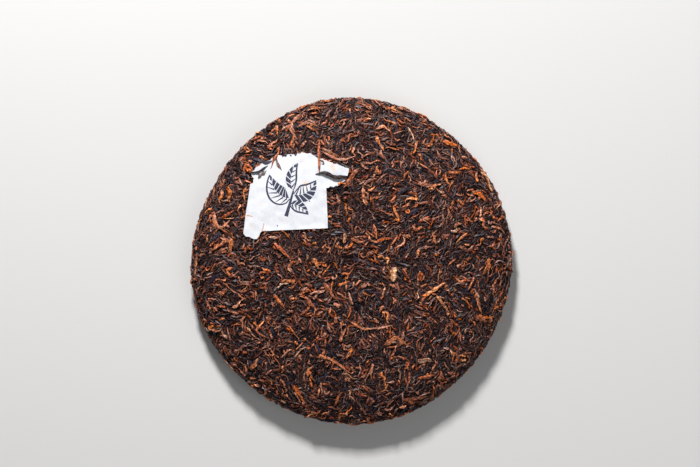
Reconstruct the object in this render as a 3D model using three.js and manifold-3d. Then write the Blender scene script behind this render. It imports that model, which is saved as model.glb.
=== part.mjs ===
// A round cake of pressed ripe tea, 195 mm across and 26 mm thick, lying on its back with its domed front up.
// The front falls away to a soft rim. The back is pressed flat, round the hollow that the knot of the pressing
// bag leaves in its middle. Twisted leaf strips stand out of both faces, and a thin torn paper ticket is pressed
// into the upper left of the front.
// Frame: origin on the floor under the middle of the cake, +Z up, +Y towards the top of the front's picture.
// All sizes are in millimetres.

import * as THREE from "three";
import { mergeVertices } from "three/addons/utils/BufferGeometryUtils.js";
import Module from "manifold-3d";

const CAKE = {
  radius: 96.9, // of the pressed mass, with the strips standing out to the full 195 mm across
  height: 25.2, // from the floor to the middle of the front
  rimHeight: 9.8, // from the floor to the widest line
  frontPower: 3.4, // of the front's dome: the higher, the flatter the middle and the tighter the rim
  backPower: 6,
  backSink: 0.9, // how far the back bulges below the floor before it is pressed flat
};
const HOLLOW = { radius: 30, depth: 11, fullness: 0.75 };

// The outline is not quite round: each lobe adds a wave of so many peaks, the first peak at that angle.
const LOBES = [
  { peaks: 1, size: 0.3, angle: 197 },
  { peaks: 2, size: 1.0, angle: 73 },
  { peaks: 3, size: 0.3, angle: -37 },
  { peaks: 4, size: 0.8, angle: 8 },
];

const RELIEF = { size: 0.55, wave: 7.5 }; // height and spacing of the uneven surface between the strips
const CORE_DETAIL = 11; // splits of each icosahedron edge

const STRIPS = {
  onFront: 96,
  onBack: 56,
  length: [10, 21],
  width: [2.2, 3.4],
  thickness: [1.7, 2.3],
  bend: [-1.5, 1.5], // radians from end to end
  sides: 5,
  stations: 4,
  lift: 0.3, // height of a strip's middle over the pressed surface
  dive: 1.1, // how much lower its two tips lie
  root: 1.8, // how much deeper its underside is than its top is high
  clearOfTicket: 1.5,
};

const TICKET = {
  thickness: 0.4,
  gap: 0.3, // between the paper and the tea under it
  cell: 6, // the spacing of the folds that let the sheet follow the dome
  seatMargin: 0.8,
  seatHeight: 9,
};

// The sheet is a square one, torn at its top and lower left, with a strip torn loose at its right.
const TICKET_OUTLINE = [
  [-14.5, 19.9], // lower right corner, cut clean
  [-15.5, 44.0], // inner corner under the loose strip
  [-8.8, 45.2],
  [-4.0, 49.3],
  [-1.9, 55.5], // end of the loose strip
  [-18.8, 61.5],
  [-26.0, 64.8],
  [-30.3, 65.5], // torn top
  [-34.1, 64.1],
  [-43.9, 63.7],
  [-53.8, 58.9],
  [-60.4, 53.5], // corner pressed under the leaves
  [-58.8, 49.7],
  [-61.0, 46.4],
  [-63.8, 28.3],
  [-65.2, 16.7], // lower left corner
  [-62.8, 14.8],
  [-57.1, 13.4],
  [-53.3, 18.2], // inner corner of the torn tab
];

const COLOURS = { tea: 0x48322c, paper: 0xf1f1f6 };

const wasm = await Module();
wasm.setup();

// Evenly spread random numbers that are the same at every run.
function seeded(seed) {
  let state = seed;
  return (low = 0, high = 1) => {
    state = (state + 0x6d2b79f5) | 0;
    let mixed = Math.imul(state ^ (state >>> 15), 1 | state);
    mixed = (mixed + Math.imul(mixed ^ (mixed >>> 7), 61 | mixed)) ^ mixed;
    return low + ((high - low) * ((mixed ^ (mixed >>> 14)) >>> 0)) / 4294967296;
  };
}

// 1 in the middle of a face, falling to 0 at the widest line.
function dome(r, power) {
  return Math.sqrt(Math.max(0, 1 - (r / CAKE.radius) ** power));
}

function frontHeight(r) {
  return CAKE.rimHeight + (CAKE.height - CAKE.rimHeight) * dome(r, CAKE.frontPower);
}

function backHeight(r) {
  const bulge = CAKE.rimHeight - (CAKE.rimHeight + CAKE.backSink) * dome(r, CAKE.backPower);
  if (r >= HOLLOW.radius) return bulge;
  const bell = Math.cos((Math.PI / 2) * (r / HOLLOW.radius)) ** (2 * HOLLOW.fullness);
  return bulge + (HOLLOW.depth + CAKE.backSink) * bell;
}

// Half a section of one face, from the middle of the cake out to its widest line.
class FaceSection extends THREE.Curve {
  constructor(heightAt) {
    super();
    this.heightAt = heightAt;
    this.length = this.getLength();
  }

  getPoint(t, target = new THREE.Vector2()) {
    const r = CAKE.radius * Math.sin((Math.PI / 2) * t);
    return target.set(r, this.heightAt(r));
  }
}

const FRONT = { section: new FaceSection(frontHeight), outward: 1 };
const BACK = { section: new FaceSection(backHeight), outward: -1 };
FRONT.other = BACK;
BACK.other = FRONT;

function lobesAt(angle) {
  return LOBES.reduce(
    (sum, lobe) =>
      sum + lobe.size * Math.cos(lobe.peaks * (angle - THREE.MathUtils.degToRad(lobe.angle))),
    0,
  );
}

// The point at a distance from the middle along a face, in a direction, and lifted off the surface.
// A distance past the widest line runs on over the rim, onto the other face.
function skinPoint(face, distance, angle, lift) {
  const over = distance > face.section.length;
  const side = over ? face.other : face;
  const along = over ? face.section.length + side.section.length - distance : distance;
  const share = THREE.MathUtils.clamp(along / side.section.length, 0, 1);
  const at = side.section.getPointAt(share);
  const tangent = side.section.getTangentAt(share);
  const r = Math.max(0, at.x - side.outward * tangent.y * lift);
  const z = at.y + side.outward * tangent.x * lift;
  const wide = r + lobesAt(angle) * (at.x / CAKE.radius) ** 3;
  return new THREE.Vector3(wide * Math.cos(angle), wide * Math.sin(angle), z);
}

// The same for a place (u, v) on the face laid out flat. The back is turned over, not mirrored.
function facePoint(face, u, v, lift) {
  return skinPoint(face, Math.hypot(u, v), face.outward * Math.atan2(v, u), lift);
}

// Smooth waves in three directions, between -1 and 1, for the uneven surface.
function unevenness(p) {
  const k = (2 * Math.PI) / RELIEF.wave;
  const a = Math.sin(k * (0.9 * p.x + 0.4 * p.y) + 1.3 * Math.sin(k * 0.31 * p.y));
  const b = Math.sin(k * (-0.5 * p.x + 0.8 * p.y) + 1.7 * Math.sin(k * 0.27 * p.x) + 2.1);
  const c = Math.sin(k * (0.2 * p.x - 0.6 * p.y + 1.1 * p.z) + 0.7);
  return (a + b + c) / 3;
}

// The way the leaves run at a place on a face: they swirl slowly from spot to spot.
function grainAngle(u, v) {
  return 1.9 * Math.sin(u / 17 + 0.6) + 1.6 * Math.sin(v / 21 - u / 34) + 1.2 * Math.cos((u + v) / 29);
}

// A closed geometry as a solid, with only its merged positions kept.
function solidOf(geometry) {
  const bare = geometry.clone();
  bare.deleteAttribute("normal");
  bare.deleteAttribute("uv");
  const merged = mergeVertices(bare, 1e-4);
  const corners = merged.index.array;
  const kept = [];
  for (let i = 0; i < corners.length; i += 3) {
    const [a, b, c] = corners.subarray(i, i + 3);
    if (a !== b && b !== c && c !== a) kept.push(a, b, c);
  }
  return new wasm.Manifold(
    new wasm.Mesh({
      numProp: 3,
      vertProperties: new Float32Array(merged.attributes.position.array),
      triVerts: new Uint32Array(kept),
    }),
  );
}

function geometryOf(solid) {
  const mesh = solid.getMesh();
  const geometry = new THREE.BufferGeometry();
  geometry.setAttribute("position", new THREE.BufferAttribute(mesh.vertProperties, 3));
  geometry.setIndex(new THREE.BufferAttribute(mesh.triVerts, 1));
  geometry.computeVertexNormals();
  return geometry;
}

// Moves every vertex of a geometry to where the function puts it.
function reshape(geometry, place) {
  const position = geometry.attributes.position;
  const vertex = new THREE.Vector3();
  for (let i = 0; i < position.count; i += 1) {
    const moved = place(vertex.fromBufferAttribute(position, i));
    position.setXYZ(i, moved.x, moved.y, moved.z);
  }
  return geometry;
}

// The pressed mass: an evenly split ball, laid onto the cake's section and roughened.
function pressedMass() {
  const ball = new THREE.IcosahedronGeometry(1, CORE_DETAIL);
  return solidOf(
    reshape(ball, (p) => {
      const face = p.z >= 0 ? FRONT : BACK;
      const share = Math.sqrt(1 - Math.min(1, Math.abs(p.z)));
      const distance = share * face.section.length;
      const angle = Math.atan2(p.y, p.x);
      const bare = skinPoint(face, distance, angle, 0);
      return skinPoint(face, distance, angle, RELIEF.size * unevenness(bare));
    }),
  );
}

// One leaf strip: a slender spindle, bent in the plane of the face and laid on it.
function leafStrip(face, u, v, heading, draw) {
  const length = draw(...STRIPS.length);
  const width = draw(...STRIPS.width);
  const thickness = draw(...STRIPS.thickness);
  const bend = draw(...STRIPS.bend);
  const turned = draw(0, Math.PI);
  const spindle = new THREE.SphereGeometry(1, STRIPS.sides, STRIPS.stations);
  return solidOf(
    reshape(spindle, (p) => {
      const along = (p.y * length) / 2;
      const around = Math.atan2(p.x, p.z) + turned;
      const girth = Math.hypot(p.x, p.z) ** 0.55;
      const across = (Math.cos(around) * girth * width) / 2;
      const belly = (Math.sin(around) * girth * thickness) / 2;
      const up = STRIPS.lift - STRIPS.dive * p.y ** 2 + belly * (belly < 0 ? STRIPS.root : 1);
      const turn = heading + (bend * along) / length;
      const halfway = heading + (bend * along) / length / 2;
      return facePoint(
        face,
        u + along * Math.cos(halfway) - across * Math.sin(turn),
        v + along * Math.sin(halfway) + across * Math.cos(turn),
        up,
      );
    }),
  );
}

const outlinePoints = TICKET_OUTLINE.map(([x, y]) => new THREE.Vector2(x, y));
const ticketMiddle = outlinePoints
  .reduce((sum, p) => sum.add(p), new THREE.Vector2())
  .divideScalar(outlinePoints.length);

// The ticket's outline, pushed out from its middle by a margin.
function ticketOutline(margin) {
  return outlinePoints.map((p) => {
    const away = p.clone().sub(ticketMiddle);
    return p.clone().add(away.setLength(margin));
  });
}

// Whether a place on the front is under the ticket, or within the strips' clearance of it.
function underTicket(u, v, reach) {
  const outline = ticketOutline(reach);
  let inside = false;
  for (let i = 0, j = outline.length - 1; i < outline.length; j = i, i += 1) {
    const [a, b] = [outline[i], outline[j]];
    if (a.y > v !== b.y > v && u < ((b.x - a.x) * (v - a.y)) / (b.y - a.y) + a.x) inside = !inside;
  }
  return inside;
}

// The strips of one face, spread evenly by a sunflower spiral, each turned with the grain where it lies.
function leafStrips(face, count, seed) {
  const draw = seeded(seed);
  const strips = [];
  for (let i = 0; i < count; i += 1) {
    const distance = face.section.length * Math.sqrt((i + 0.5) / count);
    const angle = i * Math.PI * (3 - Math.sqrt(5));
    const u = distance * Math.cos(angle);
    const v = distance * Math.sin(angle);
    const heading = grainAngle(u, v) + draw(-0.7, 0.7);
    const reach = STRIPS.length[1] / 2 + STRIPS.clearOfTicket;
    if (face === FRONT && underTicket(u, v, reach)) continue;
    strips.push(leafStrip(face, u, v, heading, draw));
  }
  return strips;
}

// A slab that follows the front's dome inside the outline, between two heights over the pressed surface.
function slabOnFront(outline, low, high) {
  const box = new THREE.Box2().setFromPoints(outline).expandByScalar(TICKET.cell);
  const size = box.getSize(new THREE.Vector2());
  const middle = box.getCenter(new THREE.Vector2());
  const sheet = new THREE.BoxGeometry(
    size.x,
    size.y,
    1,
    Math.ceil(size.x / TICKET.cell),
    Math.ceil(size.y / TICKET.cell),
    1,
  );
  reshape(sheet, (p) => {
    const [x, y] = [p.x + middle.x, p.y + middle.y];
    const base = frontHeight(Math.min(Math.hypot(x, y), 0.99 * CAKE.radius));
    return new THREE.Vector3(x, y, base + (p.z < 0 ? low : high));
  });
  const prism = new THREE.ExtrudeGeometry(new THREE.Shape(outline), {
    depth: 2 * CAKE.height,
    bevelEnabled: false,
  });
  return solidOf(sheet).intersect(solidOf(prism));
}

function floorSlab() {
  const deep = 2 * CAKE.height;
  const slab = new THREE.BoxGeometry(4 * CAKE.radius, 4 * CAKE.radius, deep);
  slab.translate(0, 0, -deep / 2);
  return solidOf(slab);
}

// The tea: the pressed mass with its strips, pressed flat on the floor and flat under the ticket.
function teaCake() {
  const strips = [...leafStrips(FRONT, STRIPS.onFront, 7), ...leafStrips(BACK, STRIPS.onBack, 11)];
  const seat = slabOnFront(ticketOutline(TICKET.seatMargin), 0, TICKET.seatHeight);
  return strips.reduce((mass, strip) => mass.add(strip), pressedMass()).subtract(floorSlab()).subtract(seat);
}

function ticketSheet() {
  return slabOnFront(outlinePoints, TICKET.gap, TICKET.gap + TICKET.thickness);
}

function piece(name, solid, colour, roughness) {
  const material = new THREE.MeshStandardMaterial({ color: colour, roughness, metalness: 0 });
  const mesh = new THREE.Mesh(geometryOf(solid), material);
  mesh.name = name;
  return mesh;
}

const group = new THREE.Group();
group.name = "pressed_tea_cake";
group.add(piece("tea_cake", teaCake(), COLOURS.tea, 0.75));
group.add(piece("paper_ticket", ticketSheet(), COLOURS.paper, 0.9));

export default group;
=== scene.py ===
"""Dresses a pressed cake of ripe tea: twisted leaf strips over a dark core, and a torn paper ticket.

Sizes inside the classes are in millimetres, in the frame of the solids. They become metres when a mesh is
made. Those of the studio are in metres.
"""

import logging
import math
from collections.abc import Sequence
from dataclasses import dataclass, field, replace
from enum import Enum

import bpy
import numpy as np
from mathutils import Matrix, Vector
from mathutils.geometry import delaunay_2d_cdt


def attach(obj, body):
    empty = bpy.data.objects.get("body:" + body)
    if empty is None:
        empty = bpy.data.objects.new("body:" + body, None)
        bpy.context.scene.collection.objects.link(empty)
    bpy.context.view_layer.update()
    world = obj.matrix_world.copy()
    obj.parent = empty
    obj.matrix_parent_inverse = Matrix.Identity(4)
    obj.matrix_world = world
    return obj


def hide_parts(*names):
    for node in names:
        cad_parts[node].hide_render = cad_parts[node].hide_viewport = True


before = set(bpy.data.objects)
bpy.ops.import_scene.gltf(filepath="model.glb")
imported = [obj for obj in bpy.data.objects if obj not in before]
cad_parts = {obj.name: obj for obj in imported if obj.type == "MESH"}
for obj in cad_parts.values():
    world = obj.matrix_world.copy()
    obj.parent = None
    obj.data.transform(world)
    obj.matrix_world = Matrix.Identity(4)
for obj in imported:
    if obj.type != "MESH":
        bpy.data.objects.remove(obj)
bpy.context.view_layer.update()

MM = 0.001
TAU = 2 * math.pi
LOG = logging.getLogger("tea_cake")
Colour = tuple[float, float, float]
Place = tuple[float, float]

# How high the press leaves a leaf strip, as a share of the height that it has on its own.
PRESSED = 0.85
# What a length is divided by at least, in mm.
TINY = 1e-9


class Face(Enum):
    """The two faces of the cake. Its value is the sign of the face's own outward direction."""

    FRONT = 1
    BACK = -1


class LeafKind(Enum):
    """The kinds of leaf strip, by the colour that they dried to."""

    CHARCOAL = "charcoal_wires"
    CINDER = "charcoal_bits"
    SLATE = "broad_dark_leaves"
    UMBER = "umber_leaves"
    RUSSET = "russet_leaves"
    GOLDEN = "golden_buds"
    STRAW = "straw_stems"
    CRUMB = "leaf_crumbs"


# The kinds that dried to a light colour.
LIGHT_KINDS = (LeafKind.RUSSET, LeafKind.GOLDEN, LeafKind.STRAW)


def unit(ways: np.ndarray) -> np.ndarray:
    """Brings directions to length 1, each with its parts last."""
    return ways / np.maximum(np.linalg.norm(ways, axis=-1, keepdims=True), TINY)


@dataclass(frozen=True)
class Lobe:
    """One wave of the outline.

    Args:
        peaks: How many times the wave rises on its way round.
        size: Its height in mm.
        angle: The direction of one peak, in degrees.
    """

    peaks: int
    size: float
    angle: float


@dataclass
class CakeForm:
    """The form of the pressed mass, which the leaves and the ticket lie on.

    Each face is laid out flat as a chart: a place (u, v) on it is as far from the middle as the way along the
    surface is long. The chart of a face runs on over the rim.

    Args:
        radius: The cake's radius, without its lobes.
        height: The height of the middle of the front over the floor.
        rim_height: The height at which the cake is widest.
        front_power: How far out the front stays flat, as the power of its curve.
        back_power: The same for the back.
        back_sink: How far the back would pass the floor before it is pressed flat.
        hollow_radius: The radius of the hollow in the back.
        hollow_depth: The depth of the hollow.
        hollow_fullness: The power of its side. The smaller it is, the fuller the hollow.
        lobes: The waves of the outline.
        samples: At how many points each face is measured.
        soft: The height under which what comes near the floor is pressed thin.
        runs: What is measured for each face, from its middle over the rim: the way along it, the distance
            from the axis, the height, and the direction straight off it, outwards and up.
        reach: The way along each face from its middle to the rim.
    """

    radius: float = 96.9
    height: float = 25.2
    rim_height: float = 9.8
    front_power: float = 3.4
    back_power: float = 6.0
    back_sink: float = 0.9
    hollow_radius: float = 30.0
    hollow_depth: float = 11.0
    hollow_fullness: float = 0.75
    lobes: tuple[Lobe, ...] = (Lobe(1, 0.3, 197), Lobe(2, 1.0, 73), Lobe(3, 0.3, -37), Lobe(4, 0.8, 8))
    samples: int = 1500
    soft: float = 0.35
    runs: dict[Face, np.ndarray] = field(init=False)
    reach: dict[Face, float] = field(init=False)

    def __post_init__(self) -> None:
        """Measures both faces along their surface."""
        share = np.sin(np.linspace(0, math.pi / 2, self.samples))
        r = self.radius * share
        front = np.stack([r, self.front_height(r)])
        back = np.stack([r, self.back_height(r)])
        self.runs, self.reach = {}, {}
        for face, first, second in ((Face.FRONT, front, back), (Face.BACK, back, front)):
            line = np.concatenate([first, second[:, -2::-1]], axis=1)
            step = np.hypot(*np.diff(line, axis=1))
            along = np.concatenate([[0], np.cumsum(step)])
            tangent = np.gradient(line, along, axis=1)
            tangent /= np.hypot(*tangent)
            normal = np.stack([-tangent[1], tangent[0]]) * face.value
            self.runs[face] = np.stack([along, *line, *normal])
            self.reach[face] = float(along[self.samples - 1])

    def front_height(self, r: np.ndarray) -> np.ndarray:
        """Works out the height of the front over the floor.

        Args:
            r: The distances from the middle.

        Returns:
            The heights.
        """
        bulge = np.sqrt(np.maximum(0, 1 - (r / self.radius) ** self.front_power))
        return self.rim_height + (self.height - self.rim_height) * bulge

    def back_height(self, r: np.ndarray) -> np.ndarray:
        """Works out the height of the back over the floor, before it is pressed flat.

        Args:
            r: The distances from the middle.

        Returns:
            The heights.
        """
        bulge = np.sqrt(np.maximum(0, 1 - (r / self.radius) ** self.back_power))
        inside = np.minimum(r / self.hollow_radius, 1)
        bell = np.maximum(0, np.cos(math.pi / 2 * inside)) ** (2 * self.hollow_fullness)
        sunk = self.rim_height - (self.rim_height + self.back_sink) * bulge
        return sunk + (self.hollow_depth + self.back_sink) * bell

    def lobes_at(self, angle: np.ndarray) -> np.ndarray:
        """How far the outline stands out in a direction."""
        return sum(lobe.size * np.cos(lobe.peaks * (angle - math.radians(lobe.angle))) for lobe in self.lobes)

    def place(
        self, face: Face, u: np.ndarray, v: np.ndarray, lift: np.ndarray
    ) -> tuple[np.ndarray, np.ndarray]:
        """Finds places of a face's chart in space.

        Args:
            face: The face whose chart it is.
            u: The places across the chart.
            v: The places up the chart.
            lift: How far they stand off the surface.

        Returns:
            The points and the directions straight off the surface, each with X, Y and Z last.
        """
        along, r, z, off_r, off_z = self.runs[face]
        s = np.hypot(u, v)
        angle = np.arctan2(v, u) * face.value
        flat = np.interp(s, along, r)
        out_r, out_z = np.interp(s, along, off_r), np.interp(s, along, off_z)
        long = np.hypot(out_r, out_z)
        out_r, out_z = out_r / long, out_z / long
        wide = np.maximum(flat + out_r * lift, 0) + self.lobes_at(angle) * (flat / self.radius) ** 3
        high = np.interp(s, along, z) + out_z * lift
        points = np.stack([wide * np.cos(angle), wide * np.sin(angle), high], axis=-1)
        off = np.stack([out_r * np.cos(angle), out_r * np.sin(angle), out_z], axis=-1)
        return self.pressed_flat(points), off

    def pressed_flat(self, points: np.ndarray) -> np.ndarray:
        """Keeps points over the floor. What would pass it is pressed thin just above it, in the same order.

        Args:
            points: The points, with X, Y and Z last. Their heights are changed in place.

        Returns:
            The same points.
        """
        high = points[..., 2]
        thinned = self.soft * np.exp(np.minimum(high / self.soft - 1, 0))
        points[..., 2] = np.where(high < self.soft, thinned, high)
        return points

    def chart_of(self, x: np.ndarray, y: np.ndarray) -> tuple[np.ndarray, np.ndarray]:
        """Finds the places on the front's chart under points seen from above.

        Args:
            x: The points across.
            y: The points up the picture.

        Returns:
            The places as u and v.
        """
        along, r = self.runs[Face.FRONT][:2, : self.samples]
        from_middle = np.maximum(np.hypot(x, y), TINY)
        lobes = self.lobes_at(np.arctan2(y, x))
        flat = from_middle
        for _ in range(3):
            flat = from_middle - lobes * (flat / self.radius) ** 3
        stretch = np.interp(flat, r, along) / from_middle
        return x * stretch, y * stretch


@dataclass
class Ripples:
    """Smooth random waves over a chart or in space, for the way the leaves lie and for uneven surfaces.

    Args:
        seed: What the waves are drawn from.
        shortest: The shortest wave in mm.
        longest: The longest wave in mm.
        axes: 2 on a chart, 3 in space.
        count: How many waves are added up.
    """

    seed: int
    shortest: float
    longest: float
    axes: int = 2
    count: int = 9

    def __post_init__(self) -> None:
        """Draws the waves."""
        draw = np.random.default_rng(self.seed)
        way = unit(draw.normal(size=(self.count, self.axes)))
        self.waves = way * (TAU / draw.uniform(self.shortest, self.longest, (self.count, 1)))
        self.starts = draw.uniform(0, TAU, self.count)

    def at(self, *places: np.ndarray) -> np.ndarray:
        """The sum of the waves at some places, with a spread of about 1."""
        turned = np.stack(places, axis=-1) @ self.waves.T + self.starts
        return np.sin(turned).sum(axis=-1) * math.sqrt(2 / self.count)


@dataclass(frozen=True)
class LeafCut:
    """How the strips of one kind are shaped. Each pair is the least and the most.

    Args:
        kind: The kind of strip.
        length: Along the strip.
        width: Across its flat side.
        flatness: Its thickness as a share of its width.
        bend: How far it turns in the plane of the face, from end to end, in radians.
        hooked: The share of strips with a hooked tip.
        curled: The share of strips that curl up from end to end.
        wavy: How far it snakes from side to side, in radians.
        kinked: The spread of the sharp turn that it makes somewhere along its length, in radians.
        twist: How far it turns about its own length, in radians.
        roll: The spread of how it is turned to begin with, in radians.
        base: The share of its length over which it widens from its foot.
        tip: The share of its length over which it narrows to its tip.
        blunt: Its width at both ends, as a share of its full width.
        lumpy: How much its width goes up and down along it, as a share.
        ceiling: How high its middle may lie over the pressed surface: the middle and the spread.
        clumped: How much it keeps to the lighter patches of the cake, or below 0 to the darker ones.
        late: How much later than the others it is laid, as a share of the whole time.
        sides: How many sides its section has.
        stations: How many sections it has.
    """

    kind: LeafKind
    length: tuple[float, float]
    width: tuple[float, float]
    flatness: tuple[float, float] = (0.45, 0.7)
    bend: tuple[float, float] = (-1.0, 1.0)
    hooked: float = 0.2
    curled: float = 0.06
    wavy: float = 0.4
    kinked: float = 0.45
    twist: tuple[float, float] = (-2.4, 2.4)
    roll: float = 0.5
    base: float = 0.16
    tip: float = 0.3
    blunt: float = 0.16
    lumpy: float = 0.24
    ceiling: tuple[float, float] = (-0.2, 0.3)
    clumped: float = 0.0
    late: float = 0.0
    sides: int = 5
    stations: int = 9


@dataclass(frozen=True)
class Tint:
    """The colours and the gloss of one kind of strip.

    Args:
        deep: The darkest strips' colour.
        full: The lightest strips' colour.
        tip: The colour that a strip runs to at its tip.
        tipped: How far it runs to that colour.
        odd: The colour of the strips that dried to another one.
        odd_share: The share of such strips.
        vivid: How strong the colour of a strip is, from the dullest to the strongest.
        sheen: How strong its gloss is.
    """

    deep: Colour
    full: Colour
    tip: Colour
    tipped: float
    odd: Colour
    odd_share: float
    vivid: tuple[float, float] = (0.5, 1.2)
    sheen: float = 0.37


@dataclass
class Strips:
    """Leaf strips that have been laid: one row per strip, one column per station along it.

    Args:
        cut: How they are shaped.
        face: The side of the cake that they lie on.
        u: Where their middles lie on the side's chart, across.
        v: Where their middles lie on the chart, upwards.
        lift: How high their middles lie over the pressed surface.
        width: Their full width.
        thickness: Their full thickness.
        turn: How far they are turned about their length.
        bright: How far the dullest of them is from its kind's dullest colour, from 0 to 1.
    """

    cut: LeafCut
    face: Face
    u: np.ndarray
    v: np.ndarray
    lift: np.ndarray
    width: np.ndarray
    thickness: np.ndarray
    turn: np.ndarray
    bright: float = 0.0

    def __len__(self) -> int:
        """The number of strips."""
        return len(self.u)


@dataclass
class Tries:
    """Strips that have been drawn but not laid, with one column for each place at which a strip is tried.

    Args:
        strips: The strips.
        u: Their lines across the chart, at each place.
        v: Their lines up the chart.
        cells: The bed's cells under those lines.
        liking: How well each place suits the kind.
        ceiling: How high the middle of each strip may lie at each station.
    """

    strips: Strips
    u: np.ndarray
    v: np.ndarray
    cells: np.ndarray
    liking: np.ndarray
    ceiling: np.ndarray


@dataclass
class PieceData:
    """The arrays of one mesh.

    Args:
        points: Its points, in mm.
        corners: The point at each corner of each face, one face after another.
        starts: The corner that each face starts with.
        tint: The leaf colour at each point.
        grain_map: The map that the leaf's streaks follow, at each corner.
        bake_map: The map on which every strip has a cell of its own.
        marks: The ink, fold and stain at each corner of the ticket.
    """

    points: np.ndarray
    corners: np.ndarray
    starts: np.ndarray
    tint: np.ndarray | None = None
    grain_map: np.ndarray | None = None
    bake_map: np.ndarray | None = None
    marks: np.ndarray | None = None


def joined(parts: Sequence[PieceData]) -> PieceData:
    """Joins the arrays of several meshes of strips into one.

    Args:
        parts: The meshes' arrays.

    Returns:
        The arrays of the whole.
    """
    first_point = np.cumsum([0] + [len(part.points) for part in parts[:-1]])
    first_corner = np.cumsum([0] + [len(part.corners) for part in parts[:-1]])
    stored = [[getattr(part, name) for part in parts] for name in ("tint", "grain_map", "bake_map")]
    return PieceData(
        np.concatenate([part.points for part in parts]),
        np.concatenate([part.corners + first for part, first in zip(parts, first_point)]),
        np.concatenate([part.starts + first for part, first in zip(parts, first_corner)]),
        *(np.concatenate(arrays) for arrays in stored),
    )


def new_piece(
    name: str, data: PieceData, finish: bpy.types.Material, sharp: float | None = None
) -> bpy.types.Object:
    """Makes a mesh object from arrays.

    Args:
        name: The piece's name.
        data: Its arrays, with the points in mm.
        finish: Its material.
        sharp: The angle in degrees over which an edge stays sharp, or None for a smooth surface.

    Returns:
        The new object, riding on the root body.
    """
    mesh = bpy.data.meshes.new(name)
    mesh.vertices.add(len(data.points))
    mesh.vertices.foreach_set("co", (data.points * MM).astype(np.float32).ravel())
    mesh.loops.add(len(data.corners))
    mesh.loops.foreach_set("vertex_index", data.corners.astype(np.int32))
    mesh.polygons.add(len(data.starts))
    mesh.polygons.foreach_set("loop_start", data.starts.astype(np.int32))
    mesh.polygons.foreach_set("use_smooth", np.ones(len(data.starts), bool))
    mesh.update(calc_edges=True)
    for title, where, colours in (("leaf_tint", "POINT", data.tint), ("paper_marks", "CORNER", data.marks)):
        if colours is not None:
            layer = mesh.color_attributes.new(title, "FLOAT_COLOR", where)
            layer.data.foreach_set("color", colours.astype(np.float32).ravel())
    for title, places in (("LeafGrain", data.grain_map), ("OFBake", data.bake_map)):
        if places is not None:
            mesh.uv_layers.new(name=title).uv.foreach_set("vector", places.astype(np.float32).ravel())
    if sharp is not None:
        mesh.set_sharp_from_angle(angle=math.radians(sharp))
    mesh.materials.append(finish)
    piece = bpy.data.objects.new(name, mesh)
    bpy.context.collection.objects.link(piece)
    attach(piece, "root")
    LOG.info("%s: %d points, %d faces", name, len(data.points), len(data.starts))
    return piece


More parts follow.
